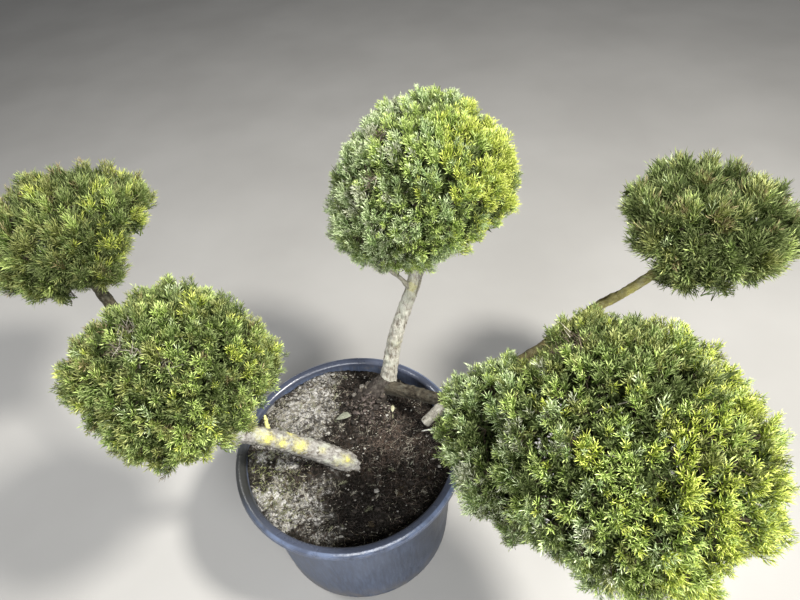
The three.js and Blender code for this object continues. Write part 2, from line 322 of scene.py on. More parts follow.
# three copies of each tint: body, darkened as painted shade for the lower and inner shoots; mid; tip, paler, for the
# ends of the shoots, partly paler new growth and partly painted light
LEAF_MATERIALS = {
    tint: (
        leaf_material(f"leaf {tint} body", times(a, 0.80, 0.60), times(b, 0.80, 0.65)),
        leaf_material(f"leaf {tint} mid", times(b, 1.00, 0.80), times(c, 1.12, 0.90)),
        leaf_material(f"leaf {tint} tip", times(c, 1.16), times(d, 1.13), 0.58),
    )
    for tint, (a, b, c, d) in LEAF.items()
}
TWIG_BROWN = twig_material("twig brown", (0.036, 0.026, 0.015), (0.110, 0.084, 0.050))
TWIG_PALE = twig_material("twig pale", (0.17, 0.155, 0.115), (0.38, 0.355, 0.28))
TWIG_YELLOW = twig_material("twig lichen", (0.45, 0.42, 0.12), (0.70, 0.68, 0.28))
SPENT = twig_material("spent needles", (0.045, 0.036, 0.016), (0.120, 0.092, 0.040))

# ------------------------------------------------------------------ pot

POT_SIDES = 176


def pot_profile():
    """Outline of the pot in mm, from the middle of its underside round the lip to the middle of its floor."""
    outer = lambda z: 239.5 + 27 * z / 364
    inner = lambda z: 236 + 27 * (z - 5) / 359
    points = [(60, 0), (150, 0), (225, 0), (234.5, 0.0), (237, 0.6), (238.8, 2.2), (outer(5), 5)]
    points += [(outer(z), z) for z in np.linspace(12, 356, 30)]
    points += [
        (outer(361), 361), (267.2, 362.6), (269.5, 363.2), (277, 363.2), (283.5, 362.8), (285.6, 362.0), (286.3, 359.5),
        (286.5, 355), (286.7, 352.6), (287.3, 351.2), (288.3, 350.6), (289.3, 351.0), (289.8, 352.3), (290, 354.2),
        (289.8, 356.2), (289.2, 357.8), (288.5, 358.8), (288.3, 360.0), (288.4, 361.6), (288.1, 363.2), (287.2, 364.5),
        (285.2, 366.2), (283.0, 367.9), (281.0, 369.2), (278.6, 369.9), (275.0, 370.0), (271.8, 369.6),
        (268.8, 368.3), (266.4, 366.4), (264.6, 364.2), (263.5, 361.6), (263.1, 359),
    ]
    points += [(inner(z), z) for z in np.linspace(356, 14, 26)]
    points += [(inner(9), 9), (inner(6.5) - 1.5, 6.2), (inner(5) - 6, 5), (150, 5), (60, 5)]
    return np.array(points)


def make_pot():
    prof = pot_profile()
    n, m = len(prof), POT_SIDES
    turn = np.linspace(0, 2 * math.pi, m, endpoint=False)
    r, z = np.repeat(prof[:, 0], m), np.repeat(prof[:, 1], m)
    a = np.tile(turn, n)
    x, y = r * np.cos(a), r * np.sin(a)
    # thin plastic is never quite round: long shallow waves, none on the foot or the lip's outline
    free = smooth(5, 60, z) * smooth(360, 300, z)
    wave = value_noise(np.stack([np.cos(a) * 1.6, np.sin(a) * 1.6, z / 170], 1), 5)
    r = r + free * wave * 1.1
    x, y = r * np.cos(a), r * np.sin(a)
    verts = np.concatenate([np.stack([x, y, z], 1), [[0, 0, 0], [0, 0, 5]]]) * MM
    i = np.arange(n - 1)[:, None] * m
    j = np.arange(m)[None, :]
    k = (j + 1) % m
    quads = np.stack([i + j, i + k, i + m + k, i + m + j], -1).reshape(-1, 4)
    low, high = n * m, n * m + 1
    j = np.arange(m)
    k = (j + 1) % m
    bottom = np.stack([np.full(m, low), k, j], 1)
    top = np.stack([np.full(m, high), (n - 1) * m + j, (n - 1) * m + k], 1)

    s = Shader("pot plastic")
    up = s.axis("Z")
    scuff = s.noise(9.0, 5.0, 0.62, s.stretched((16.0, 16.0, 1.6)))
    blotch = s.noise(6.5, 4.0, 0.6)
    fine = s.noise(320.0, 2.0, 0.6)
    # blue-grey plastic, part of its blue a painted sky reflection; the pale dust patches are tinted blue by the same
    # painted reflection
    colour = s.ramp(scuff, (0.36, (0.048, 0.062, 0.100)), (0.50, (0.069, 0.090, 0.144)), (0.66, (0.106, 0.134, 0.200)))
    dust_and_painted_reflection = s.math("MULTIPLY", s.ramp(blotch, (0.44, 0.0), (0.66, 0.70)), s.ramp(fine, (0.35, 0.35), (0.7, 1.0)))
    colour = s.mix(dust_and_painted_reflection, colour, (0.175, 0.200, 0.262))
    foot = s.math("MULTIPLY", s.span(up, 0.075, 0.0), s.ramp(s.noise(26.0, 4.0, 0.6), (0.40, 0.0), (0.62, 0.85)))
    colour = s.mix(foot, colour, (0.190, 0.165, 0.135))
    crumbs = s.math("MULTIPLY", s.math("MULTIPLY", s.span(up, 0.330, 0.362), s.span(up, 0.3705, 0.362)),
                    s.ramp(s.noise(60.0, 4.0, 0.65), (0.52, 0.0), (0.60, 0.5)))
    colour = s.mix(crumbs, colour, (0.150, 0.125, 0.095))
    # painted shade: the wall darker on its right, under the right-front mass
    colour = s.mix(s.math("MULTIPLY", s.near((0.262, -0.130, 0.20), 0.06, 0.30), s.ramp(s.noise(5.0, 4.0, 0.6, s.stretched((2.0, 2.0, 1.0))), (0.36, 0.55), (0.54, 0.95))), colour, (0.019, 0.022, 0.029))
    lip = s.span(up, 0.352, 0.362)
    colour = s.mix(s.math("MULTIPLY", lip, 0.88), colour, (0.050, 0.057, 0.084))
    reach = s.node("ShaderNodeSeparateXYZ", Vector=s.place)
    reach = s.math("SQRT", s.math("ADD", s.math("MULTIPLY", reach.outputs[0], reach.outputs[0]), s.math("MULTIPLY", reach.outputs[1], reach.outputs[1])))
    # painted highlight: a pale blue band along the lip's outer shoulder
    painted_highlight_band = s.math("MULTIPLY", s.math("MULTIPLY", s.span(reach, 0.2800, 0.2822), lip), s.ramp(s.noise(34.0, 4.0, 0.6), (0.36, 0.25), (0.60, 1.0)))
    colour = s.mix(s.math("MULTIPLY", painted_highlight_band, 0.85), colour, (0.150, 0.190, 0.290))
    # painted shade: the lip darker at its left, under the left-front mass
    painted_shade_left_lip = s.math("MULTIPLY", s.math("MULTIPLY", s.near((-0.285, -0.050, 0.37), 0.06, 0.20), lip), 0.94)
    colour = s.mix(painted_shade_left_lip, colour, (0.022, 0.022, 0.018))
    rough = s.ramp(scuff, (0.25, 0.36), (0.75, 0.52))
    rough = s.mix(dust_and_painted_reflection, rough, 0.8)
    rough = s.mix(s.math("MULTIPLY", lip, 0.85), rough, s.ramp(blotch, (0.40, 0.20), (0.70, 0.32)))
    normal = s.bump(s.noise(55.0, 3.0, 0.5, s.stretched((2.2, 2.2, 0.5))), 0.0012, 0.5)
    normal = s.bump(fine, 0.0003, 0.5, normal)
    plastic = s.finish(colour, rough, normal, Specular_IOR_Level=0.6)
    pot = mesh_piece("pot", verts, [quads, bottom, top], [plastic], soft=True, slot="pot")
    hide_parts("pot")
    return pot


make_pot()

# ------------------------------------------------------------------ soil and what lies on it

rng = np.random.default_rng(31)


def bvh_of(node):
    me = NODES[node].data
    return BVHTree.FromPolygons([v.co for v in me.vertices], [list(p.vertices) for p in me.polygons])


SOIL_SKIN = bvh_of("soil")


def soil_height(x, y):
    """Height of the CAD soil's top at a place, or of the nearest place that it has."""
    for shrink in (1.0, 0.99, 0.98, 0.965, 0.95):
        hit = SOIL_SKIN.ray_cast(Vector((x * shrink, y * shrink, 0.6)), Vector((0, 0, -1)))
        if hit[0] is not None:
            return hit[0].z
    return 0.33


def soil_detail(x, y):
    """Crumbs, clods, hollows and heaps in metres, on top of the CAD soil."""
    p = np.stack([x, y, np.zeros_like(x)], 1)
    broad = layered(p / 0.042, 2, 70) * 0.0072
    clods = layered(p / 0.017, 2, 80)
    clods = (0.55 - np.abs(clods) * 1.9) * 0.0052
    lumps = np.maximum(value_noise(p / 0.0095, 85), -0.1) * 0.0026
    grit = value_noise(p / 0.0046, 90) * 0.0010
    # the earth is heaped over the foot of the trunk, and drawn up the wall at the back left
    far = np.hypot(x - 0.052, (y - 0.128) * 1.05)
    heap = 0.047 * np.exp(-((far / 0.058) ** 2)) * (1 + 0.25 * value_noise(p / 0.022, 95))
    turn = np.degrees(np.arctan2(y, x))
    side = smooth(70, 100, turn) * smooth(190, 165, turn)
    drawn = 0.011 * side * smooth(0.195, 0.250, np.hypot(x, y))
    return broad + clods + lumps + grit + heap + drawn


def make_soil():
    rings, sides = 78, 288
    rr = np.concatenate([[0.0], np.linspace(0.006, 1.0, rings) ** 0.94])
    rr = rr[1:]
    turn = np.linspace(0, 2 * math.pi, sides, endpoint=False)
    reach = 0.2593
    x = (rr[:, None] * np.cos(turn)[None] * reach).ravel()
    y = (rr[:, None] * np.sin(turn)[None] * reach).ravel()
    z = np.array([soil_height(a, b) for a, b in zip(x, y)])
    # smooth the CAD's facets away, round each ring and across rings
    grid = z.reshape(rings, sides)
    for _ in range(3):
        grid = (np.roll(grid, 1, 1) + 2 * grid + np.roll(grid, -1, 1)) / 4
        inner = grid.copy()
        inner[1:-1] = (grid[:-2] + 2 * grid[1:-1] + grid[2:]) / 4
        grid = inner
    z = grid.ravel()
    edge = np.repeat(rr, sides)
    z = z + soil_detail(x, y) * (1 - 0.35 * smooth(0.9, 1.0, edge))
    # crumbs drawn up against the wall
    z = z + smooth(0.93, 1.0, edge) * (0.002 + 0.003 * value_noise(np.stack([x, y, z], 1) / 0.02, 3))
    wall = (236 + 27 * (z / MM - 5) / 359) * MM - 0.0006
    radius = np.hypot(x, y)
    last = edge > 0.9999
    x = np.where(last, x * wall / radius, x)
    y = np.where(last, y * wall / radius, y)
    top = np.stack([x, y, z], 1)
    foot = top[-sides:].copy()
    foot[:, 2] = 0.262
    foot[:, :2] *= ((236 + 27 * (262 - 5) / 359) * MM - 0.0006) / np.hypot(foot[:, 0], foot[:, 1])[:, None]
    middle = [[0, 0, float(z[:sides].mean())], [0, 0, 0.262]]
    verts = np.concatenate([top, foot, middle])
    i = np.arange(rings)[:, None] * sides
    j = np.arange(sides)[None, :]
    k = (j + 1) % sides
    quads = np.stack([i + j, i + sides + j, i + sides + k, i + k], -1).reshape(-1, 4)
    j = np.arange(sides)
    k = (j + 1) % sides
    centre, low = (rings + 1) * sides, (rings + 1) * sides + 1
    cap = np.stack([np.full(sides, centre), j, k], 1)
    base = np.stack([np.full(sides, low), rings * sides + k, rings * sides + j], 1)

    s = Shader("potting soil")
    wide = s.noise(14.0, 4.0, 0.62)
    dryness_and_shadow = s.math("MULTIPLY", s.math("SUBTRACT", wide, 0.5), 1.1)
    # drier pale earth and moist dark earth by place; the negative entries at (-0.125, -0.052), (-0.215, -0.050),
    # (0.020, 0.175) and (0.030, 0.110) are painted shadows under the stem, behind the trunk and on the heap over the
    # trunk's foot, and the one at (0.030, -0.185) is moist earth with a painted shadow over it
    for place, inner_r, outer_r, how in (
        ((-0.150, 0.110, 0.34), 0.040, 0.150, 0.72), ((-0.060, 0.215, 0.34), 0.020, 0.110, 0.62),
        ((-0.150, -0.100, 0.34), 0.050, 0.150, 0.82), ((-0.060, -0.225, 0.34), 0.010, 0.085, 0.48),
        ((0.065, 0.130, 0.36), 0.020, 0.085, -0.10), ((0.130, 0.030, 0.34), 0.020, 0.100, 0.16),
        ((-0.250, 0.010, 0.34), 0.010, 0.070, 0.30), ((-0.125, -0.052, 0.34), 0.000, 0.062, -0.75), ((-0.215, -0.050, 0.34), 0.000, 0.050, -0.60),
        ((0.020, 0.175, 0.34), 0.010, 0.075, -0.55), ((0.030, 0.110, 0.36), 0.010, 0.070, -0.40),
        ((0.030, -0.185, 0.34), 0.020, 0.120, -0.45),
    ):
        dryness_and_shadow = s.math("ADD", dryness_and_shadow, s.math("MULTIPLY", s.near(place, inner_r, outer_r), how))
    grains = s.noise(165.0, 4.0, 0.68)
    clods = s.noise(62.0, 4.0, 0.66)
    fibres = s.noise(95.0, 4.0, 0.6, s.stretched((1.0, 0.25, 1.0), (0, 0, 0.7)), 0.6)
    lumps = s.noise(34.0, 3.0, 0.55, None, 0.4)
    speck = s.math("ADD", s.math("MULTIPLY", s.math("SUBTRACT", grains, 0.5), 0.95), s.math("MULTIPLY", s.math("SUBTRACT", clods, 0.5), 1.50))
    speck = s.math("ADD", speck, s.math("MULTIPLY", s.math("SUBTRACT", lumps, 0.5), 1.50))
    tone = s.math("ADD", s.math("ADD", dryness_and_shadow, 0.14), s.math("MULTIPLY", speck, s.span(dryness_and_shadow, -0.5, 0.5)))
    colour = s.ramp(tone, (0.00, (0.0060, 0.0046, 0.0034)), (0.30, (0.013, 0.010, 0.0075)), (0.50, (0.056, 0.051, 0.043)),
                    (0.71, (0.262, 0.251, 0.231)), (0.92, (0.500, 0.484, 0.456)))
    reddish = s.math("MULTIPLY", s.ramp(fibres, (0.50, 0.0), (0.66, 0.8)), s.near((0.110, 0.000, 0.34), 0.03, 0.16))
    colour = s.mix(reddish, colour, (0.130, 0.090, 0.066))
    moss = s.math("MAXIMUM", s.near((-0.192, -0.108, 0.33), 0.03, 0.095), s.near((-0.215, -0.03, 0.33), 0.0, 0.08))
    moss = s.math("MAXIMUM", moss, s.math("MULTIPLY", s.near((-0.190, 0.140, 0.34), 0.0, 0.06), 0.8))
    moss = s.math("MULTIPLY", moss, s.ramp(s.noise(40.0, 5.0, 0.7), (0.49, 0.0), (0.62, 0.55)))
    colour = s.mix(moss, colour, s.ramp(grains, (0.30, (0.050, 0.054, 0.026)), (0.50, (0.165, 0.165, 0.096)), (0.68, (0.350, 0.340, 0.230))))
    # painted shade in the dark winding cracks between the clods
    wind = s.math("ABSOLUTE", s.math("SUBTRACT", s.noise(23.0, 6.0, 0.62, None, 0.5), 0.5))
    crack = s.span(wind, 0.034, 0.008)
    wind = s.math("ABSOLUTE", s.math("SUBTRACT", s.noise(58.0, 4.0, 0.6, s.stretched((1, 1, 1), place=(3.1, 1.7, 0)), 0.4), 0.5))
    crack = s.math("MAXIMUM", crack, s.math("MULTIPLY", s.span(wind, 0.022, 0.004), 0.7))
    colour = s.mix(s.math("MULTIPLY", crack, 0.84), colour, (0.022, 0.019, 0.015))
    normal = s.bump(lumps, 0.016, 0.9)
    normal = s.bump(clods, 0.011, 0.9, normal)
    normal = s.bump(crack, -0.006, 0.8, normal)
    normal = s.bump(grains, 0.0030, 0.9, normal)
    earth = s.finish(colour, 0.95, normal, Specular_IOR_Level=0.15)
    soil = mesh_piece("soil", verts, [quads, cap, base], [earth], soft=True, slot="soil")
    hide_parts("soil")
    tree = BVHTree.FromPolygons([Vector(v) for v in verts], [list(map(int, f)) for f in np.concatenate([quads[:, [0, 1, 2]], quads[:, [0, 2, 3]], cap])])
    return tree


SOIL_TOP = make_soil()


def spikes(base, tip, radius, roll):
    """Three-sided pointed slivers from base to tip: (verts, triangles)."""
    axis = unit(tip - base)
    ref = np.where(np.abs(axis[:, 2:3]) > 0.9, [[1.0, 0, 0]], [[0, 0, 1.0]])
    e1 = unit(np.cross(axis, ref))
    e2 = np.cross(axis, e1)
    corners = []
    for k in range(3):
        a = roll + k * 2 * math.pi / 3
        corners.append(base + (np.cos(a)[:, None] * e1 + np.sin(a)[:, None] * e2) * radius[:, None])
    verts = np.stack([*corners, tip], 1).reshape(-1, 3)
    n = np.arange(len(base))[:, None] * 4
    faces = np.concatenate([n + [0, 1, 3], n + [1, 2, 3], n + [2, 0, 3]], 1).reshape(-1, 3)
    return verts, faces


def dropped(x, y, lift=0.0):
    """Height and slope of the soil under each place."""
    z, n = [], []
    for a, b in zip(x, y):
        hit = SOIL_TOP.ray_cast(Vector((a, b, 0.6)), Vector((0, 0, -1)))
        z.append(hit[0].z if hit[0] is not None else 0.325)
        n.append(tuple(hit[1]) if hit[0] is not None else (0, 0, 1))
    return np.array(z) + lift, np.array(n)


def soil_dryness_and_shadow(x, y):
    """0 on the moist dark earth and in its painted shadows to 1 on the drier pale earth, as in the soil's colours."""
    far = lambda cx, cy, lo, hi: smooth(hi, lo, np.hypot(x - cx, y - cy))
    ragged = 0.35 * value_noise(np.stack([x, y, 0 * x], 1) / 0.035, 9)
    # painted shadows under the stem, behind the trunk and on the heap over the trunk's foot
    ragged = ragged - 0.8 * far(-0.125, -0.052, 0.0, 0.062) - 0.6 * far(-0.215, -0.05, 0.0, 0.05) - 0.6 * far(0.02, 0.175, 0.01, 0.075) - 0.5 * far(0.03, 0.11, 0.01, 0.07)
    return np.clip(
        0.95 * far(-0.15, 0.11, 0.04, 0.15) + 0.85 * far(-0.06, 0.215, 0.02, 0.11) + 0.8 * far(-0.17, -0.095, 0.04, 0.135)
        + 0.55 * far(-0.06, -0.225, 0.01, 0.085) + 0.05 * far(0.065, 0.13, 0.02, 0.085) + ragged, 0, 1)


def scatter_disc(count, radius=0.252):
    r = np.sqrt(rng.random(count)) * radius
    a = rng.random(count) * 2 * math.pi
    return r * np.cos(a), r * np.sin(a)


def spray_template(rng, style):
    """A spray of blunt cord-like shoots, 1 high: verts, triangles, and which triangles are tips.

    A shoot is two fins that share its axis and are widest at different heights, so from any side it has the stepped
    outline of scale leaves.
    The upper fin and the shoots higher up the spray take the lighter shades, partly paler new growth and partly painted
    light on the tops, and the lower ones the darker, painted shade. Tips are 0 for dark, 1 for middle, 2 for light."""
    feather = style == "feather"
    shoots = 18 if feather else 20
    bend = rng.uniform(-0.18, 0.18, 2)
    along = lambda t: np.array([bend[0] * t * t, bend[1] * t * t, t])
    slope = lambda t: np.array([bend[0] * t * 2, bend[1] * t * 2, 1.0])
    verts, tris, tips = [], [], []

    def across(d, roll):
        d = d / np.linalg.norm(d)
        ref = np.array([0, 1.0, 0]) if abs(d[1]) < 0.8 else np.array([1.0, 0, 0])
        e1 = np.cross(d, ref)
        e1 /= np.linalg.norm(e1)
        e2 = np.cross(d, e1)
        return [math.cos(roll + k * 2.0944) * e1 + math.sin(roll + k * 2.0944) * e2 for k in range(3)]

    def shoot(base, d, length, half, height):
        n = len(verts)
        o = across(d, rng.random() * 6)
        low, high = rng.uniform(0.34, 0.46), rng.uniform(0.62, 0.76)
        verts.extend([base, base + d * length * low + o[0] * half * rng.uniform(0.8, 1.2), base + d * length * 0.80])
        verts.extend([base + d * length * 0.26, base + d * length * high + o[1] * half * rng.uniform(0.8, 1.2), base + d * length])
        tris.extend([[n, n + 1, n + 2], [n + 3, n + 4, n + 5]])
        height = height + rng.uniform(-0.20, 0.20)
        level = 2 if height > 0.68 else 1 if height > 0.44 else 0
        tips.extend([max(0, level - int(rng.integers(1, 3))), level])

    # the stalk
    verts.extend([along(0) + o * 0.030 for o in across(np.array([0, 0, 1.0]), rng.random() * 6)] + [along(0.86)])
    for k in range(3):
        tris.append([k, (k + 1) % 3, 3])
        tips.append(0)
    shoot(along(0.60), slope(0.8) / np.linalg.norm(slope(0.8)), 0.42, 0.028 if feather else 0.032, 1.0)
    turn = rng.random() * 6.283
    for k in range(shoots - 1):
        t = 0.05 + 0.70 * (k + rng.uniform(-0.25, 0.25)) / (shoots - 2)
        t = min(max(t, 0.02), 0.78)
        spread = math.radians(rng.uniform(14, 38) if feather else rng.uniform(18, 50))
        around = turn + 2.4 * k + rng.uniform(-0.4, 0.4)
        out = np.array([math.cos(around), math.sin(around), 0])
        d = out * math.sin(spread) + slope(t) * math.cos(spread)
        d /= np.linalg.norm(d)
        length = (0.27 + 0.24 * (1 - t)) * rng.uniform(0.75, 1.20) * (1.22 if feather else 1.0)
        half = (0.026 if feather else 0.0305) * rng.uniform(0.8, 1.2)
        end_z = (along(t) + d * length)[2]
        shoot(along(t), d, length, half, end_z)
    return np.array(verts), np.array(tris), np.array(tips)


def make_litter():
    """Fallen needles lie all over the soil: straw and grey on the drier side, brown on the moist one and in the painted
    shadows, green at the front left, black in the moist, painted-shadow patch at the front.
    """
    count = 8500
    x, y = scatter_disc(count)
    z, n = dropped(x, y)
    mid = np.stack([x, y, z], 1) + n * 0.0008
    flat = rng.random(count) * 2 * math.pi
    d = np.stack([np.cos(flat), np.sin(flat), (rng.random(count) - 0.35) * 0.45], 1)
    d = unit(d - n * np.sum(d * n, 1, keepdims=True) * 0.8)
    length = rng.uniform(0.004, 0.014, count) * (1 + 0.8 * (rng.random(count) < 0.12))
    radius = rng.uniform(0.0004, 0.0009, count)
    verts, faces = spikes(mid - d * length[:, None] / 2, mid + d * length[:, None] / 2, radius, rng.random(count) * 6)
    green = np.exp(-((x + 0.190) ** 2 + (y + 0.108) ** 2) / 0.0046) + np.exp(-((x + 0.21) ** 2 + (y + 0.02) ** 2) / 0.002)
    dryness_and_shadow = soil_dryness_and_shadow(x, y)
    pick = rng.random(count)
    kind = np.where(pick < green * 0.6, 2, np.where(rng.random(count) < 0.08 + 0.62 * dryness_and_shadow, 0, np.where(rng.random(count) < 0.35, 3, 1)))
    # black needles where the front earth is moist and lies under a painted shadow
    moist_and_shadow_front = np.exp(-((x - 0.020) ** 2 + (y + 0.175) ** 2) / 0.0095)
    kind = np.where(rng.random(count) < moist_and_shadow_front * 0.95, 3, kind)
    straw = twig_material("straw needles", (0.150, 0.135, 0.095), (0.400, 0.370, 0.290))
    brown = twig_material("brown needles", (0.020, 0.013, 0.009), (0.066, 0.042, 0.028))
    fresh = twig_material("green needles", (0.090, 0.105, 0.032), (0.300, 0.315, 0.130))
    black = twig_material("black needles", (0.008, 0.006, 0.004), (0.030, 0.022, 0.015))
    mesh_piece("soil_needles", verts, faces, [straw, brown, fresh, black], np.repeat(kind, 3), slot="soil")

    # long thin roots and stalks, bent once or twice, thickest between the two stems
    count = 420
    x, y = scatter_disc(count, 0.245)
    pull = rng.random(count) < 0.74
    x = np.where(pull, 0.115 + 0.055 * rng.normal(size=count), x)
    y = np.where(pull, 0.000 + 0.050 * rng.normal(size=count), y)
    ok = np.hypot(x, y) < 0.245
    x, y = x[ok], y[ok]
    count = len(x)
    heading = np.where(pull[ok], rng.normal(size=count) * 0.6 + 0.35, rng.random(count) * 6.283)
    at = np.stack([x, y], 1)
    v_all, f_all, total = [], [], 0
    width = rng.uniform(0.0005, 0.0010, count)
    for seg in range(3):
        step = rng.uniform(0.006, 0.013, count)[:, None] * np.stack([np.cos(heading), np.sin(heading)], 1)
        to = at + step
        za, _ = dropped(at[:, 0], at[:, 1], 0.0010)
        zb, _ = dropped(to[:, 0], to[:, 1], 0.0016)
        v, f = spikes(np.column_stack([at, za]), np.column_stack([to + step * 0.12, zb]), width, rng.random(count) * 6)
        v_all.append(v)
        f_all.append(f + total)
        total += len(v)
        at, heading = to, heading + rng.normal(size=count) * 0.5
    pinkish = twig_material("thin roots", (0.046, 0.031, 0.023), (0.170, 0.130, 0.102))
    pale_root = twig_material("pale stalks", (0.190, 0.175, 0.130), (0.460, 0.430, 0.350))
    root_kind = np.tile(np.where(rng.random(count) < 0.10 + 0.5 * soil_dryness_and_shadow(x, y), 1, 0), 3)
    mesh_piece("soil_roots", np.concatenate(v_all), np.concatenate(f_all), [pinkish, pale_root], np.repeat(root_kind, 3), slot="soil")

    # clipped sprigs that have fallen and dried, mostly on the left
    count = 330
    x, y = scatter_disc(count * 3, 0.240)
    want = 0.06 + 0.9 * np.exp(-((x + 0.182) ** 2 + (y + 0.110) ** 2) / 0.0052) + 0.75 * np.exp(-((x + 0.170) ** 2 + (y - 0.110) ** 2) / 0.0060)
    take = np.nonzero(rng.random(count * 3) < want)[0][:count]
    x, y = x[take], y[take]
    z, n = dropped(x, y, 0.0015)
    shapes = [spray_template(rng, "scale") for _ in range(6)]
    v_all, f_all, m_all, total = [], [], [], 0
    for k, (a, b, c) in enumerate(zip(x, y, z)):
        tv, tt, _ = shapes[k % 6]
        heading = rng.random() * 6.283
        along = np.array([math.cos(heading), math.sin(heading), rng.uniform(-0.05, 0.35)])
        along /= np.linalg.norm(along)
        side = np.cross(along, n[k])
        side /= np.linalg.norm(side)
        over = np.cross(along, side)
        size = rng.uniform(0.012, 0.026)
        v_all.append(np.array([a, b, c]) + (side * tv[:, 0:1] * 1.15 + over * tv[:, 1:2] * 0.5 + along * tv[:, 2:3]) * size)
        f_all.append(tt + total)
        total += len(tv)
        m_all.append(np.full(len(tt), int(rng.choice([0, 1, 2], p=[0.42, 0.38, 0.20]))))
    dull = leaf_material("dried sprigs", (0.100, 0.105, 0.060), (0.290, 0.285, 0.190), 0.8)
    old = leaf_material("bleached sprigs", (0.170, 0.155, 0.115), (0.430, 0.405, 0.330), 0.85)
    dim = leaf_material("brown sprigs", (0.040, 0.030, 0.016), (0.130, 0.098, 0.055), 0.85)
    mesh_piece("soil_sprigs", np.concatenate(v_all), np.concatenate(f_all), [dull, old, dim], np.concatenate(m_all), slot="soil")

    # clods and crumbs: squat lumps of eight faces
    count = 3200
    x, y = scatter_disc(count)
    near_foot = rng.random(count) < 0.20
    x = np.where(near_foot, 0.058 + 0.032 * rng.normal(size=count), x)
    y = np.where(near_foot, 0.118 + 0.034 * rng.normal(size=count), y)
    z, n = dropped(x, y)
    size = rng.uniform(0.0010, 0.0034, count) * (1 + 1.2 * (rng.random(count) < 0.08))
    ring = np.array([[1, 0, 0], [0.25, 0.95, 0.1], [-0.8, 0.55, -0.05], [-0.75, -0.6, 0.1], [0.3, -0.9, 0], [0.05, 0.1, 0.75], [0, 0, -0.6]])
    shape = ring[None] * (1 + rng.uniform(-0.3, 0.3, (count, 7, 1)))
    a = rng.random(count) * 6.28
    ca, sa = np.cos(a)[:, None], np.sin(a)[:, None]
    px = shape[:, :, 0] * ca - shape[:, :, 1] * sa
    py = shape[:, :, 0] * sa + shape[:, :, 1] * ca
    body = np.stack([px, py * rng.uniform(0.6, 1, (count, 1)), shape[:, :, 2] * 0.8], 2) * size[:, None, None]
    verts = (body + np.stack([x, y, z + size * 0.15], 1)[:, None]).reshape(-1, 3)
    tri = []
    for k in range(5):
        tri += [[k, (k + 1) % 5, 5], [(k + 1) % 5, k, 6]]
    faces = (np.arange(count)[:, None, None] * 7 + np.array(tri)[None]).reshape(-1, 3)
    foot = np.exp(-((x - 0.060) ** 2 + (y - 0.120) ** 2) / 0.0030)
    kind = np.where(rng.random(count) < foot * 0.8, 2, np.where(rng.random(count) < 0.08 + 0.86 * soil_dryness_and_shadow(x, y), 0, 1))
    s = Shader("dry crumbs")
    pale = s.finish(s.ramp(s.noise(160.0, 3.0, 0.6), (0.3, (0.120, 0.112, 0.095)), (0.7, (0.440, 0.420, 0.375))), 0.95,
                    s.bump(s.noise(600.0, 3.0, 0.6), 0.001, 0.8))
    s = Shader("moist crumbs")
    wet = s.finish(s.ramp(s.noise(160.0, 3.0, 0.6), (0.3, (0.008, 0.006, 0.0045)), (0.7, (0.042, 0.032, 0.023))), 0.9,
                   s.bump(s.noise(600.0, 3.0, 0.6), 0.001, 0.8))
    s = Shader("pinkish grit")
    pink = s.finish(s.ramp(s.noise(120.0, 3.0, 0.6), (0.3, (0.028, 0.021, 0.018)), (0.7, (0.140, 0.111, 0.097))), 0.9,
                    s.bump(s.noise(600.0, 3.0, 0.6), 0.001, 0.8))
    mesh_piece("soil_crumbs", verts, faces, [pale, wet, pink], np.repeat(kind, len(tri)), slot="soil")

    # a pale seed pod on its stalk, a flat greyish leaf, and a bare stick
    def blade(place, heading, length, width, arch, lift=0.003):
        """A thin closed leaf: verts and triangles."""
        u = np.linspace(0, 1, 9)
        half_w = width / 2 * np.sin(np.pi * np.clip(u, 0.02, 0.98)) ** 0.7
        ax = np.array([math.cos(heading), math.sin(heading)])
        sx = np.array([-ax[1], ax[0]])
        z0 = float(dropped(np.array([place[0]]), np.array([place[1]]))[0][0]) + lift
        rows = []
        for q, (t, w) in enumerate(zip(u, half_w)):
            c = np.array(place) + ax * (t - 0.5) * length
            zc = z0 + arch * math.sin(math.pi * t)
            for k, h in ((-1, 0), (0, width * 0.14), (1, 0), (0, -0.0008)):
                rows.append([*(c + sx * w * k), zc + h])
        i = np.arange(8)[:, None] * 4
        j = np.arange(4)[None]
        quads = np.stack([i + j, i + (j + 1) % 4, i + 4 + (j + 1) % 4, i + 4 + j], -1).reshape(-1, 4)
        ends = np.array([[3, 2, 1, 0], [32, 33, 34, 35]])
        quads = np.concatenate([quads, ends])
        return np.array(rows), np.concatenate([quads[:, [0, 1, 2]], quads[:, [0, 2, 3]]])

    parts = [blade((0.120, 0.106), 1.45, 0.024, 0.0095, 0.002, 0.004), blade((-0.008, 0.099), 0.25, 0.050, 0.020, 0.005, 0.006),
             blade((0.118, 0.086), 1.50, 0.018, 0.0016, 0.001, 0.003), blade((0.203, 0.040), 0.06, 0.032, 0.0048, 0.0, 0.006),
             blade((0.150, -0.050), 0.9, 0.014, 0.004, 0.001), blade((-0.080, 0.020), 2.4, 0.018, 0.006, 0.002)]
    kinds = [0, 1, 0, 2, 1, 0]
    v_all, f_all, m_all, total = [], [], [], 0
    for (v, f), k in zip(parts, kinds):
        v_all.append(v)
        f_all.append(f + total)
        m_all.append(np.full(len(f), k))
        total += len(v)
    pod = twig_material("pale pod", (0.300, 0.290, 0.170), (0.520, 0.500, 0.340))
    flat_leaf = twig_material("grey leaf", (0.105, 0.112, 0.078), (0.240, 0.245, 0.185))
    stick = twig_material("bare stick", (0.480, 0.465, 0.410), (0.780, 0.760, 0.690))
    mesh_piece("soil_leaves", np.concatenate(v_all), np.concatenate(f_all), [pod, flat_leaf, stick], np.concatenate(m_all), slot="soil")


make_litter()

# ------------------------------------------------------------------ limbs with the bark's relief


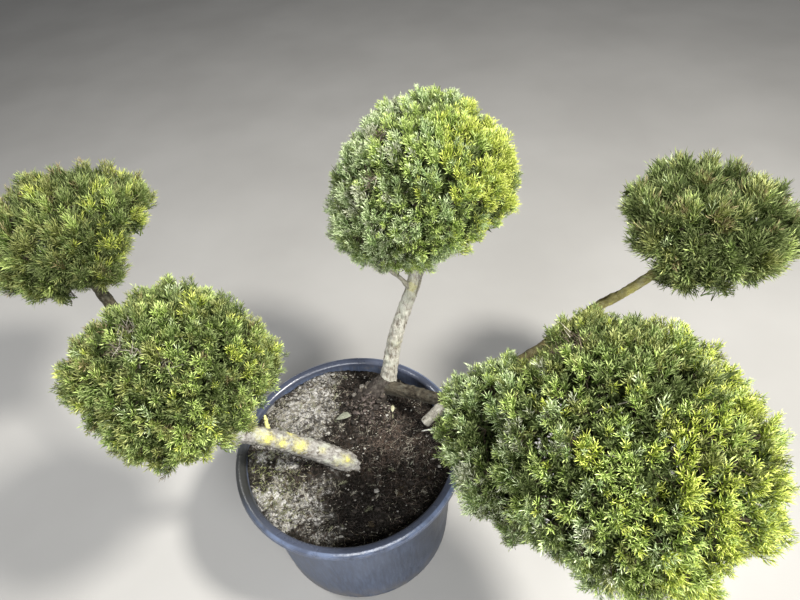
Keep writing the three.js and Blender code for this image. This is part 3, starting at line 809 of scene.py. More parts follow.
def spline(points, radii, step):
    """Centripetal curve through the points, cut into rings about step apart: (places, radii, lengths)."""
    p = np.array(points, float)
    p = np.concatenate([[2 * p[0] - p[1]], p, [2 * p[-1] - p[-2]]])
    out, rad = [], []
    for i in range(1, len(p) - 2):
        p0, p1, p2, p3 = p[i - 1], p[i], p[i + 1], p[i + 2]
        t0 = 0.0
        t1 = t0 + max(np.linalg.norm(p1 - p0), 1e-9) ** 0.5
        t2 = t1 + max(np.linalg.norm(p2 - p1), 1e-9) ** 0.5
        t3 = t2 + max(np.linalg.norm(p3 - p2), 1e-9) ** 0.5
        t = np.linspace(t1, t2, 40, endpoint=False)[:, None]
        a1 = (t1 - t) / (t1 - t0) * p0 + (t - t0) / (t1 - t0) * p1
        a2 = (t2 - t) / (t2 - t1) * p1 + (t - t1) / (t2 - t1) * p2
        a3 = (t3 - t) / (t3 - t2) * p2 + (t - t2) / (t3 - t2) * p3
        b1 = (t2 - t) / (t2 - t0) * a1 + (t - t0) / (t2 - t0) * a2
        b2 = (t3 - t) / (t3 - t1) * a2 + (t - t1) / (t3 - t1) * a3
        out.append((t2 - t) / (t2 - t1) * b1 + (t - t1) / (t2 - t1) * b2)
        k = (t[:, 0] - t1) / (t2 - t1)
        rad.append(radii[i - 1] * (1 - k) + radii[i] * k)
    out = np.concatenate([*out, [p[-2]]])
    rad = np.concatenate([*rad, [radii[-1]]])
    far = np.concatenate([[0], np.cumsum(np.linalg.norm(np.diff(out, axis=0), axis=1))])
    rings = max(3, int(round(far[-1] / step)) + 1)
    at = np.linspace(0, far[-1], rings)
    places = np.stack([np.interp(at, far, out[:, k]) for k in range(3)], 1)
    return places, np.interp(at, far, rad), at


def frames_along(places):
    """Side vectors of each ring, carried along the curve without twist."""
    tangent = unit(np.gradient(places, axis=0))
    side = np.zeros_like(places)
    ref = np.array([0, 0, 1.0]) if abs(tangent[0][2]) < 0.8 else np.array([1.0, 0, 0])
    v = np.cross(ref, tangent[0])
    for i, t in enumerate(tangent):
        v = v - t * np.dot(v, t)
        v = v / np.linalg.norm(v)
        side[i] = v
    return tangent, side, np.cross(tangent, side)


def limb(name, path, radii, material, slot, node, seed, foot=0.0, collar=0.0, knots=(), cut_end=None, inside=0, rough=1.0,
         step=3.0, detail_to=1e9):
    """A tapering limb in mm. foot flares its start into the soil, and collar into its parent."""
    places, r, at = spline(path, radii, step)
    sides = int(max(16, round(2 * math.pi * float(np.mean(r)) / (step * 0.95))))
    tangent, e1, e2 = frames_along(places)
    angle = np.linspace(0, 2 * math.pi, sides, endpoint=False)
    ca, sa = np.cos(angle), np.sin(angle)
    S = np.repeat(at, sides)
    R = np.repeat(r, sides)
    A = np.tile(angle, len(at))
    around = np.stack([np.cos(A) * R, np.sin(A) * R], 1)
    # plates and fissures run along the limb and lean a little round it
    lean = A + S * 0.0035 * (1 if seed % 2 else -1)
    ring = np.stack([np.cos(lean) * R, np.sin(lean) * R], 1)
    coarse = layered(np.column_stack([around / 24, S / 46]), 2, seed)
    strip = value_noise(np.column_stack([ring / 5.2, S / 30]), seed + 11)
    thin = value_noise(np.column_stack([ring / 2.6, S / 15]), seed + 12)
    plate = value_noise(np.column_stack([ring / 8.5, S / 15]), seed + 13)
    grain = value_noise(np.column_stack([ring / 1.9, S / 4.2]), seed + 14)
    lumps = value_noise(np.column_stack([ring / 6.0, S / 8.0]), seed + 15)
    relief = (
        coarse * 0.065 * R
        - (1 - np.abs(strip)) ** 5 * 1.15 * rough
        - (1 - np.abs(thin)) ** 4 * 0.50 * rough
        + smooth(-0.1, 0.25, plate) * 0.90 * rough
        + lumps * 0.55 * rough
        + grain * 0.30 * rough
    )
    out = R + relief
    for where, turn, size, height in knots:
        da = np.angle(np.exp(1j * (A - turn))) * R
        d = np.hypot(da, (S - where) * 0.8)
        out = out + height * (np.exp(-((d / size) ** 2)) - 0.75 * np.exp(-((d / (size * 0.42)) ** 2)))
    if foot:
        lobes = 1 + 0.22 * np.cos(A * 4 + seed) + 0.10 * np.cos(A * 7 + 2 * seed)
        out = out * (1 + foot * lobes * np.exp(-S / 22))
    if collar:
        out = out * (1 + collar * np.exp(-((S / 20) ** 2)))
    dirs = e1[:, None] * ca[None, :, None] + e2[:, None] * sa[None, :, None]
    verts = (places[:, None] + dirs * out.reshape(len(at), sides)[:, :, None]).reshape(-1, 3)
    n = len(at)
    i = np.arange(n - 1)[:, None] * sides
    j = np.arange(sides)[None, :]
    k = (j + 1) % sides
    quads = np.stack([i + j, i + k, i + sides + k, i + sides + j], -1).reshape(-1, 4)
    index = [np.zeros(len(quads), int)]
    materials = [material]
    # ends: closed by rings that shrink to a point, saw-cut where cut_end names its wood
    groups = [quads]
    for end, flip in ((0, True), (n - 1, False)):
        edge = verts[end * sides : (end + 1) * sides]
        middle = edge.mean(0)
        out_dir = tangent[end] * (-1 if flip else 1)
        start = end * sides
        last = np.arange(sides) + start
        cut = cut_end is not None and not flip
        shrink = (0.93, 0.72, 0.5, 0.28, 0.1) if cut else (0.6, 0.2)
        for q, f in enumerate(shrink):
            ring_v = middle + (edge - middle) * f
            if cut:
                wob = value_noise(ring_v / 2.2, seed + 40) * 0.35
                ring_v = ring_v + out_dir * (0.5 * (q % 2) - 0.2 + wob)[:, None]
            else:
                ring_v = ring_v + out_dir * (1 - f) * 0.45 * float(r[end])
            verts = np.concatenate([verts, ring_v])
            new = np.arange(sides) + len(verts) - sides
            a, b = last, np.roll(last, -1)
            c, d = np.roll(new, -1), new
            quad = np.stack([a, b, c, d], 1)
            groups.append(quad[:, ::-1] if flip else quad)
            index.append(np.full(sides, 1 if cut and q > 0 else 0))
            last = new
        verts = np.concatenate([verts, [middle + out_dir * (0.0 if cut else 0.42 * float(r[end]))]])
        tip = len(verts) - 1
        tri = np.stack([last, np.roll(last, -1), np.full(sides, tip)], 1)
        groups.append(tri[:, ::-1] if flip else tri)
        index.append(np.full(sides, 1 if cut else 0))
    if cut_end is not None:
        materials = [material, cut_end]
    quads_all = np.concatenate([g for g in groups if g.shape[1] == 4])
    tris_all = np.concatenate([g for g in groups if g.shape[1] == 3])
    which = np.concatenate([
        np.concatenate([x for g, x in zip(groups, index) if g.shape[1] == 4]),
        np.concatenate([x for g, x in zip(groups, index) if g.shape[1] == 3]),
    ])
    piece = mesh_piece(name, verts * MM, [quads_all, tris_all], materials, which, soft=True, slot=slot)
    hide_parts(node)
    return places[-1] * MM, tangent[-1], float(r[-1]) * MM


def bark(name, shades, lichen=(), flecks=0.5, along=(1, 1, 0.25), grey_lichen=0.35, under=None, mottled=0.55, earth=None, shaded=None):
    """shades are dark crack, brown, main and pale. lichen is a list of places (metres) and sizes of yellow patches."""
    s = Shader(name)
    crack, brown, main, pale = shades
    vector = s.stretched(along)
    strips = s.noise(150.0, 5.0, 0.62, vector, 0.3)
    plates = s.noise(46.0, 4.0, 0.6, vector, 0.5)
    fine = s.noise(420.0, 4.0, 0.65)
    colour = s.ramp(strips, (0.30, crack), (0.40, brown), (0.52, main), (0.70, pale))
    patchy = s.ramp(plates, (0.40, 0.0), (0.62, 1.0))
    colour = s.mix(s.math("MULTIPLY", patchy, 0.55), colour, s.ramp(fine, (0.35, main), (0.62, pale)))
    dots = s.cells(230.0, s.stretched((1, 1, 0.6)))
    spot = s.math("MULTIPLY", s.ramp(dots, (0.16, 1.0), (0.28, 0.0)), s.ramp(s.noise(30.0, 3.0), (0.48, 0.0), (0.60, flecks)))
    colour = s.mix(spot, colour, crack)
    mottle = s.noise(74.0, 5.0, 0.7, s.stretched((1, 1, 0.75)), 0.8)
    colour = s.mix(s.ramp(mottle, (0.52, 0.0), (0.64, mottled)), colour, brown)
    crust = s.math("MULTIPLY", s.ramp(s.noise(38.0, 5.0, 0.66), (0.53, 0.0), (0.60, grey_lichen)), s.ramp(fine, (0.3, 0.5), (0.6, 1.0)))
    colour = s.mix(crust, colour, (0.52, 0.54, 0.44))
    if under is not None:
        low = s.node("ShaderNodeSeparateXYZ", Vector=s.t.nodes.new("ShaderNodeNewGeometry").outputs["Normal"]).outputs["Z"]
        colour = s.mix(s.math("MULTIPLY", s.span(low, 0.1, -0.7), 0.7), colour, under)
    edge = s.noise(120.0, 5.0, 0.75)
    stain = s.ramp(fine, (0.30, (0.26, 0.23, 0.06)), (0.50, (0.52, 0.48, 0.16)), (0.72, (0.66, 0.63, 0.34)))
    crust = s.ramp(fine, (0.28, (0.34, 0.29, 0.05)), (0.48, (0.60, 0.55, 0.13)), (0.72, (0.72, 0.69, 0.36)))
    for place, size, strength in lichen:
        d = s.near(place, size * 0.30, size)
        ragged = s.math("ADD", d, s.math("MULTIPLY", s.math("SUBTRACT", edge, 0.5), 2.2))
        around = s.math("ADD", s.near(place, size * 0.6, size * 2.2), s.math("MULTIPLY", s.math("SUBTRACT", edge, 0.5), 2.0))
        colour = s.mix(s.math("MULTIPLY", s.ramp(around, (0.45, 0.0), (0.95, 0.55)), strength), colour, stain)
        colour = s.mix(s.math("MULTIPLY", s.ramp(ragged, (0.46, 0.0), (0.70, 1.0)), strength), colour, crust)
    if shaded is not None:
        colour = s.mix(s.math("MULTIPLY", s.span(s.axis("X"), shaded[1], shaded[0]), 0.80), colour, s.ramp(fine, (0.34, (0.012, 0.010, 0.006)), (0.64, (0.070, 0.056, 0.034))))
    if earth is not None:
        level = s.math("ADD", s.axis("Z"), s.math("MULTIPLY", s.math("SUBTRACT", s.noise(38.0, 4.0, 0.6), 0.5), 0.05))
        colour = s.mix(s.span(level, earth[1], earth[0]), colour, s.ramp(fine, (0.32, (0.010, 0.008, 0.006)), (0.66, (0.046, 0.037, 0.030))))
    normal = s.bump(strips, 0.0030, 0.75)
    normal = s.bump(fine, 0.0010, 0.7, normal)
    return s.finish(colour, s.ramp(strips, (0.3, 0.95), (0.7, 0.78)), normal, Specular_IOR_Level=0.25)


PALE_BARK = bark(
    "bark pale with yellow lichen",
    ((0.026, 0.020, 0.016), (0.086, 0.072, 0.058), (0.236, 0.222, 0.197), (0.430, 0.418, 0.388)),
    lichen=(
        ((-0.178, -0.040, 0.494), 0.017, 1.0), ((-0.146, -0.044, 0.466), 0.015, 0.95), ((-0.108, -0.034, 0.434), 0.019, 1.0),
        ((-0.122, -0.056, 0.428), 0.011, 0.8), ((-0.004, -0.040, 0.360), 0.016, 0.85), ((-0.034, -0.052, 0.362), 0.012, 0.5),
        ((-0.200, -0.040, 0.512), 0.013, 0.8), ((-0.060, -0.030, 0.400), 0.010, 0.45), ((-0.225, -0.030, 0.545), 0.018, 0.8),
        ((-0.135, -0.010, 0.450), 0.014, 0.7), ((-0.240, -0.060, 0.580), 0.016, 0.6), ((-0.205, -0.015, 0.530), 0.022, 0.55),
    ),
    flecks=0.25, along=(0.55, 1, 0.8), grey_lichen=0.55,
)
GREY_BARK = bark(
    "bark grey with dark flecks",
    ((0.036, 0.028, 0.022), (0.178, 0.152, 0.116), (0.415, 0.394, 0.332), (0.640, 0.624, 0.550)),
    lichen=(((0.205, 0.200, 0.690), 0.022, 0.35), ((0.150, 0.190, 0.520), 0.016, 0.25)),
    flecks=0.9, along=(1, 1, 0.28), grey_lichen=0.5,
)
BROWN_BARK = bark(
    "bark brown grey",
    ((0.006, 0.0045, 0.003), (0.016, 0.0120, 0.0078), (0.043, 0.0350, 0.0240), (0.108, 0.095, 0.0680)),
    flecks=0.5, along=(0.4, 0.6, 1), grey_lichen=0.06, under=(0.22, 0.205, 0.17),
)
MOSSY_BARK = bark(
    "bark brown with green lichen",
    ((0.024, 0.017, 0.006), (0.100, 0.075, 0.026), (0.290, 0.246, 0.085), (0.455, 0.412, 0.185)),
    lichen=tuple(
        ((0.40 + 0.045 * k, 0.068 + 0.0078 * k - 0.00035 * k * k + (0.008 if k % 2 else -0.008), 0.496 + 0.0235 * k), 0.020 + 0.005 * (k % 3), how)
        for k, how in enumerate((0.15, 0.2, 0.3, 0.5, 0.75, 0.8, 0.7, 0.45, 0.35))
    ),
    flecks=0.6, along=(0.3, 0.8, 1), grey_lichen=0.3, shaded=(0.50, 0.57),
)
# dark olive bark, darkened further as painted shade: the left rear bough lies in shade between the masses
DARK_BARK_PAINTED_SHADE = bark(
    "bark dark olive",
    ((0.008, 0.007, 0.004), (0.028, 0.023, 0.014), (0.070, 0.061, 0.039), (0.145, 0.132, 0.090)),
    lichen=(((-0.45, 0.18, 0.62), 0.03, 0.15), ((-0.35, 0.07, 0.59), 0.025, 0.2)),
    flecks=0.5, along=(0.6, 0.6, 1), grey_lichen=0.10,
)
# grey-pink bark darkened as painted shade: the rear trunk lies in shade under the masses
TRUNK_BARK_PAINTED_SHADE = bark(
    "bark grey pink, at the foot",
    ((0.006, 0.005, 0.004), (0.016, 0.0125, 0.010), (0.042, 0.034, 0.028), (0.100, 0.086, 0.074)),
    flecks=0.6, along=(1, 1, 0.35), grey_lichen=0.04, earth=(0.362, 0.388),
)


STUB_BARK = bark(
    "bark grey, dusty",
    ((0.026, 0.021, 0.016), (0.110, 0.096, 0.076), (0.265, 0.250, 0.210), (0.430, 0.410, 0.355)),
    flecks=0.6, along=(0.6, 0.8, 1), grey_lichen=0.2,
)


def cut_wood():
    s = Shader("sawn wood")
    vector = s.stretched((1, 1, 1), place=(-0.197, -0.017, -0.388))
    d = s.t.nodes.new("ShaderNodeVectorMath")
    d.operation = "LENGTH"
    s.put(d.inputs[0], vector)
    wave = s.math("SINE", s.math("ADD", s.math("MULTIPLY", d.outputs["Value"], 3300.0), s.math("MULTIPLY", s.noise(90.0, 3.0), 5.0)))
    rings = s.ramp(s.span(wave, -1.0, 1.0), (0.15, (0.20, 0.17, 0.12)), (0.85, (0.38, 0.35, 0.28)))
    colour = s.mix(s.ramp(s.noise(160.0, 4.0, 0.65), (0.48, 0.0), (0.68, 0.7)), rings, (0.26, 0.245, 0.21))
    return s.finish(colour, 0.85, s.bump(wave, 0.0004, 0.5), Specular_IOR_Level=0.25)


CUT_WOOD = cut_wood()
ENDS = {}

class Joined:
    """Many small shapes gathered into one mesh."""

    def __init__(self):
        self.v, self.t, self.m, self.n = [], [], [], 0

    def add(self, verts, tris, material=0):
        self.v.append(verts)
        self.t.append(tris + self.n)
        self.m.append(np.broadcast_to(material, len(tris)))
        self.n += len(verts)

    def piece(self, name, materials, **more):
        return mesh_piece(name, np.concatenate(self.v), np.concatenate(self.t), materials, np.concatenate(self.m), **more)


TRUNK_FOOT = (0.362, 0.398)
limb("trunk_rear", [[34, 122, 296], [47, 134, 330], [78, 149, 360], [106, 160, 388], [116, 166, 404]], [45, 41, 34, 29, 24],
     TRUNK_BARK_PAINTED_SHADE, "bark_brown", "trunk_rear", 3, foot=0.14, knots=((62, 4.4, 13, 4), (90, 5.6, 9, 3)), rough=1.5)


def bury_foot():
    """Earth lies on the flare of the rear trunk: crumbs and needles seated on its own mesh."""
    me = bpy.data.objects["trunk_rear"].data
    v = np.zeros(len(me.vertices) * 3, np.float32)
    n = np.zeros(len(me.vertices) * 3, np.float32)
    me.vertices.foreach_get("co", v)
    me.vertices.foreach_get("normal", n)
    v, n = v.reshape(-1, 3).astype(float), n.reshape(-1, 3).astype(float)
    ok = np.nonzero((v[:, 2] > 0.345) & (v[:, 2] < 0.396 - 0.012 * rng.random(len(v))) & (n[:, 2] > -0.15))[0]
    count = 1500
    pick = ok[rng.integers(0, len(ok), count)]
    fewer = rng.random(count) < smooth(TRUNK_FOOT[1], TRUNK_FOOT[0], v[pick][:, 2]) * 0.9 + 0.1
    pick = pick[fewer]
    count = len(pick)
    size = rng.uniform(0.0012, 0.0042, count) * (1 + 0.9 * (rng.random(count) < 0.08))
    ring = np.array([[1, 0, 0], [0.25, 0.95, 0.1], [-0.8, 0.55, -0.05], [-0.75, -0.6, 0.1], [0.3, -0.9, 0], [0.05, 0.1, 0.75], [0, 0, -0.6]])
    shape = ring[None] * (1 + rng.uniform(-0.3, 0.3, (count, 7, 1))) * size[:, None, None]
    a = rng.random(count) * 6.28
    ca, sa = np.cos(a)[:, None], np.sin(a)[:, None]
    body = np.stack([shape[:, :, 0] * ca - shape[:, :, 1] * sa, shape[:, :, 0] * sa + shape[:, :, 1] * ca, shape[:, :, 2] * 0.9], 2)
    seat = v[pick] + n[pick] * (size * 0.15)[:, None]
    tri = []
    for k in range(5):
        tri += [[k, (k + 1) % 5, 5], [(k + 1) % 5, k, 6]]
    heap = Joined()
    heap.add((body + seat[:, None]).reshape(-1, 3), (np.arange(count)[:, None, None] * 7 + np.array(tri)[None]).reshape(-1, 3),
             np.repeat(rng.choice([0, 1, 2], count, p=[0.62, 0.30, 0.08]), len(tri)))
    many = 700
    pick = ok[rng.integers(0, len(ok), many)]
    flat = unit(np.cross(n[pick], unit(rng.normal(size=(many, 3)))) + n[pick] * rng.uniform(-0.05, 0.25, (many, 1)))
    half = rng.uniform(0.003, 0.008, many)[:, None]
    middle = v[pick] + n[pick] * 0.0016
    needle_v, needle_t = spikes(middle - flat * half, middle + flat * half, rng.uniform(0.0004, 0.0009, many), rng.random(many) * 6)
    heap.add(needle_v, needle_t, np.repeat(rng.choice([1, 2, 3], many, p=[0.5, 0.2, 0.3]), 3))
    # the earth on the foot, moist, reddish and pale grit with straw, has its colours darkened as painted shade
    heap.piece("foot_earth", [
        twig_material("foot moist earth", (0.007, 0.005, 0.004), (0.032, 0.025, 0.019)), twig_material("foot reddish earth", (0.024, 0.018, 0.014), (0.096, 0.075, 0.062)),
        twig_material("foot pale grit", (0.080, 0.072, 0.060), (0.240, 0.224, 0.195)), twig_material("foot straw", (0.120, 0.100, 0.065), (0.330, 0.290, 0.210)),
    ], slot="soil")


ENDS["left_front"] = limb(
    "stem_left",
    [[2, -36, 305], [-17, -26, 330], [-54, -19, 360], [-117, -16, 410], [-188, -30, 488], [-245, -54, 556], [-278, -64, 640], [-285, -66, 720]],
    [27.0, 26.5, 25.5, 23.7, 21, 20, 19.5, 14], PALE_BARK, "bark_pale", "stem_left", 8, foot=0.06,
    knots=((70, 1.0, 9, 3.0), (150, 4.6, 8, 2.4), (215, 0.4, 10, 3.2), (262, 5.4, 8, 2.4), (330, 2.2, 9, 2.6)), rough=1.55)
ENDS["centre"] = limb(
    "bough_centre",
    [[112, 162, 380], [123, 171, 420], [139, 188, 485], [158, 198, 550], [180, 207, 610], [203, 212, 670], [217, 218, 725], [230, 238, 800]],
    [22, 21.0, 19.8, 18.5, 17.3, 16, 15.2, 10], GREY_BARK, "bark_pale", "bough_centre", 14, collar=0.30,
    knots=((150, 3.3, 8, 2.4), (245, 0.7, 8, 2.6), (318, 3.6, 10, 3.2), (92, 5.3, 7, 2.2)), rough=1.15)
ENDS["right_inner"] = limb(
    "bough_right",
    [[104, 156, 384], [146, 126, 396], [195, 91, 411], [242, 51, 430], [284, 10, 455], [338, -76, 520], [384, -165, 590], [415, -225, 665]],
    [20.5, 17.9, 16.7, 16.4, 16, 15.2, 14.2, 10], BROWN_BARK, "bark_brown", "bough_right", 21, collar=0.30,
    knots=((95, 1.1, 8, 2.6), (150, 2.0, 8, 2.4), (205, 4.0, 8, 2.4)), rough=1.35)
ENDS["right_rear"] = limb(
    "bough_right_rear",
    [[258, 34, 438], [286, 42, 448], [432, 78, 496], [562, 101, 569], [640, 116, 627], [700, 119, 660], [772, 127, 707], [835, 138, 762]],
    [14.9, 13.7, 12.9, 12.3, 12.0, 11.7, 11.1, 8], MOSSY_BARK, "bark_brown", "bough_right_rear", 28, collar=0.28,
    knots=((120, 1.6, 7, 2.2), (260, 4.1, 7, 2.4), (390, 0.9, 7, 2.2), (470, 2.6, 7, 2.4)), rough=1.2)
ENDS["left_rear"] = limb(
    "bough_left_rear",
    [[-222, -44, 533], [-262, -16, 553], [-345, 66, 586], [-470, 204, 628], [-566, 322, 668], [-596, 362, 716], [-606, 384, 770]],
    [18.5, 17.5, 16.7, 15.9, 14.9, 13.9, 9], DARK_BARK_PAINTED_SHADE, "bark_brown", "bough_left_rear", 35, collar=0.28,
    knots=((160, 1.4, 8, 2.4), (300, 4.4, 8, 2.4), (420, 0.5, 8, 2.4)), rough=1.25)
limb("stub_right", [[256, 38, 432], [230, 29, 414], [197, 17, 388]], [14.2, 13.6, 13.2],
     STUB_BARK, "bark_pale", "stub_right", 42, collar=0.25, cut_end=CUT_WOOD, knots=((22, 2.0, 6, 1.6),), rough=1.0)

bury_foot()

# ------------------------------------------------------------------ foliage

# Centre and half sizes of each clipped mass, as in the CAD, in mm.
BALLS = {
    "centre": ((242, 271, 938), (215, 215, 187)),
    "left_front": ((-289, -68, 801), (194, 194, 178)),
    "left_rear": ((-617, 407, 840), (190, 190, 156)),
    "right_rear": ((871, 146, 836), (203, 203, 124)),
    "right_front": ((483, -362, 804), (246, 217, 195)),
    "right_inner": ((335, -275, 735), (150, 165, 125)),
}
SPRAY_GAP = 0.0090
CLUMP_GAP = 0.032
TALLER = np.array((1.0, 0.62, 0.62))
R3, U3, A3 = np.array(RIGHT), np.array(UP), np.array(AHEAD)


def mesh_arrays(node):
    me = NODES[node].data
    me.calc_loop_triangles()
    v = np.zeros(len(me.vertices) * 3, np.float32)
    me.vertices.foreach_get("co", v)
    t = np.zeros(len(me.loop_triangles) * 3, np.int32)
    me.loop_triangles.foreach_get("vertices", t)
    v, t = v.reshape(-1, 3).astype(float), t.reshape(-1, 3)
    # one vertex for each place, whatever way the file splits them
    keys, first, back = np.unique(np.round(v, 5), axis=0, return_index=True, return_inverse=True)
    back = back.reshape(-1)
    return keys, back[t]


def inside(tree, point):
    """Whether a point is in a closed mesh."""
    ray, at, count = Vector((0.302, 0.511, 0.805)).normalized(), Vector(point), 0
    for _ in range(12):
        hit = tree.ray_cast(at, ray)
        if hit[0] is None:
            break
        count += 1
        at = hit[0] + ray * 1e-5
    return count % 2 == 1


def thin_out(points, gap):
    """Indices of points no nearer than gap to each other, first come first kept."""
    grid, kept = {}, []
    cells = np.floor(points / gap).astype(int)
    gap2 = gap * gap
    offsets = [(a, b, c) for a in (-1, 0, 1) for b in (-1, 0, 1) for c in (-1, 0, 1)]
    for i, (p, c) in enumerate(zip(points.tolist(), cells.tolist())):
        ok = True
        for o in offsets:
            for q in grid.get((c[0] + o[0], c[1] + o[1], c[2] + o[2]), ()):
                if (p[0] - q[0]) ** 2 + (p[1] - q[1]) ** 2 + (p[2] - q[2]) ** 2 < gap2:
                    ok = False
                    break
            if not ok:
                break
        if ok:
            grid.setdefault(tuple(c), []).append(p)
            kept.append(i)
    return np.array(kept)


def skin_points(node, gap, rng, others=(), stretch=(1, 1, 1)):
    """Even points on a node's skin with smooth outward normals, none of them covered by the other masses."""
    v, t = mesh_arrays(node)
    a, b, c = v[t[:, 0]], v[t[:, 1]], v[t[:, 2]]
    face = np.cross(b - a, c - a)
    area = np.linalg.norm(face, axis=1) / 2
    vn = np.zeros_like(v)
    for k in range(3):
        np.add.at(vn, t[:, k], face)
    vn = unit(vn)
    stretch = np.array(stretch, float)
    n = int(area.sum() / gap**2 * 7)
    pick = rng.choice(len(t), n, p=area / area.sum())
    r1, r2 = np.sqrt(rng.random(n))[:, None], rng.random(n)[:, None]
    w = (1 - r1, r1 * (1 - r2), r1 * r2)
    p = w[0] * a[pick] + w[1] * b[pick] + w[2] * c[pick]
    nn = unit(w[0] * vn[t[pick, 0]] + w[1] * vn[t[pick, 1]] + w[2] * vn[t[pick, 2]])
    keep = thin_out(p * stretch, gap)
    p, nn = p[keep], nn[keep]
    for tree in others:
        free = np.array([not inside(tree, q) for q in p + nn * 0.002])
        p, nn = p[free], nn[free]
    return p, nn


def tube(points, radii, sides=5):
    """An open-ended tapering tube along a few points: (verts, triangles)."""
    points, radii = np.asarray(points, float), np.asarray(radii, float)
    _, e1, e2 = frames_along(points)
    a = np.linspace(0, 2 * math.pi, sides, endpoint=False)
    ring = e1[:, None] * np.cos(a)[None, :, None] + e2[:, None] * np.sin(a)[None, :, None]
    verts = (points[:, None] + ring * radii[:, None, None]).reshape(-1, 3)
    n = len(points)
    i = np.arange(n - 1)[:, None] * sides
    j = np.arange(sides)[None, :]
    k = (j + 1) % sides
    tris = np.concatenate([
        np.stack([i + j, i + k, i + sides + k], -1).reshape(-1, 3), np.stack([i + j, i + sides + k, i + sides + j], -1).reshape(-1, 3)
    ])
    return verts, tris


def curve(p0, d0, p3, d3, count):
    """A bent limb from p0, leaving along d0, to p3, arriving along d3."""
    far = np.linalg.norm(p3 - p0)
    p1, p2 = p0 + d0 * far * 0.38, p3 - d3 * far * 0.30
    t = np.linspace(0, 1, count)[:, None]
    return (1 - t) ** 3 * p0 + 3 * (1 - t) ** 2 * t * p1 + 3 * (1 - t) * t**2 * p2 + t**3 * p3


def tint_shares(ball, q, noise):
    """Share of each tint at unit places q of a mass, before the draw. On the centre, left front, left rear and right
    front masses the shares follow the side of the mass and so paint light and shade.
    """
    x = q @ R3
    y = q @ U3
    z = q[:, 2]
    one = np.ones(len(q))
    if ball == "centre":
        # painted light and shade: yellow on the lit right, fresh across the middle, sage, mint, grey and dark on the
        # shaded left
        t = x + 0.12 * z + 0.22 * noise
        yellow = smooth(-0.14, 0.85, t)
        fresh = np.exp(-((t - 0.10) / 0.48) ** 2) * 0.95
        grey = smooth(0.15, -0.65, t - 0.25 * z) * 0.30
        left = smooth(0.75, -0.10, t)
        return {"yellow": yellow, "fresh": fresh, "grey": grey, "green": 0.10 + 0.05 * noise, "sage": 0.55 * left, "mint": 0.26 * left + 0.04, "dark": 0.02 + 0.22 * smooth(-0.25, -0.80, t)}
    if ball == "left_front":
        # painted light and shade: fresh and yellow toward the lit lower right, dark toward the shaded upper left
        return {"fresh": 0.16 + 0.34 * smooth(-0.1, 0.9, x - 0.4 * y) + 0.12 * noise, "olive": 0.32 * one, "green": 0.30 * one,
                "yellow": 0.03 + 0.16 * smooth(0.2, 0.9, x - 0.3 * y) + 0.04 * noise, "dark": 0.22 + 0.34 * smooth(-0.2, 0.8, y - 0.3 * x),
                "brown": 0.02 + 0.07 * smooth(0.3, 0.9, y - 0.5 * x), "sage": 0.04 * one}
    if ball == "left_rear":
        # painted light and shade: yellow toward the lit right, dark toward the shaded upper left
        return {"olive": 0.34 * one, "green": 0.26 * one, "fresh": 0.14 + 0.10 * noise, "yellow": 0.04 + 0.28 * smooth(0.2, 0.9, x + 0.3 * y),
                "brown": 0.02 + 0.20 * smooth(0.25, 0.9, y - 0.45 * x + 0.3 * noise), "dark": 0.24 + 0.16 * smooth(-0.2, 0.8, y - 0.4 * x)}
    if ball == "right_rear":
        return {"dark": 0.46 + 0.12 * noise, "green": 0.26 * one, "olive": 0.24 * one, "sage": 0.07 + 0.09 * smooth(0.0, 0.8, x),
                "brown": 0.02 + 0.14 * smooth(0.50, 0.95, z + 0.25 * noise), "fresh": 0.06 + 0.06 * noise}
    if ball == "right_front":
        # painted light and shade: yellow on the lit right and, with mid, on the lit middle of the left half; green,
        # olive and dark on the shaded top, and sage, mint, grey and dark on the shaded left
        t = 0.85 * x + 0.25 * y + 0.28 * noise
        yellow = smooth(-0.64, 0.30, t)
        fresh = 0.20 + 0.50 * np.exp(-((t + 0.15) / 0.40) ** 2)
        left = smooth(-0.15, -0.72, t)
        high = smooth(0.34, 0.80, y) * smooth(0.70, 0.05, x)
        mid = np.exp(-(((x + 0.22) / 0.36) ** 2) - ((y - 0.20) / 0.36) ** 2)
        return {"yellow": 0.90 * yellow * (1 - 0.85 * high) + 0.60 * mid, "fresh": fresh * (1 - 0.6 * high) + 0.60 * mid, "green": 0.10 * (1 - mid) + 0.55 * high,
                "sage": 0.50 * left + 0.30 * mid, "mint": 0.16 * left, "olive": 0.08 * (1 - mid) + 0.10 * yellow + 0.40 * high, "grey": 0.12 * left,
                "dark": 0.55 * high + 0.40 * left}
    return {"sage": 0.36 + 0.15 * noise, "mint": 0.14 * one, "grey": 0.10 * one, "green": 0.28 * one, "fresh": 0.14 + 0.10 * smooth(-0.1, 0.8, x),
            "dark": 0.20 * one}


# near-black olive for the dead sprays deep inside the masses: painted shade
SPENT_LEAF_PAINTED_SHADE = leaf_material("spent spray", (0.017, 0.030, 0.006), (0.048, 0.064, 0.014), 0.85)


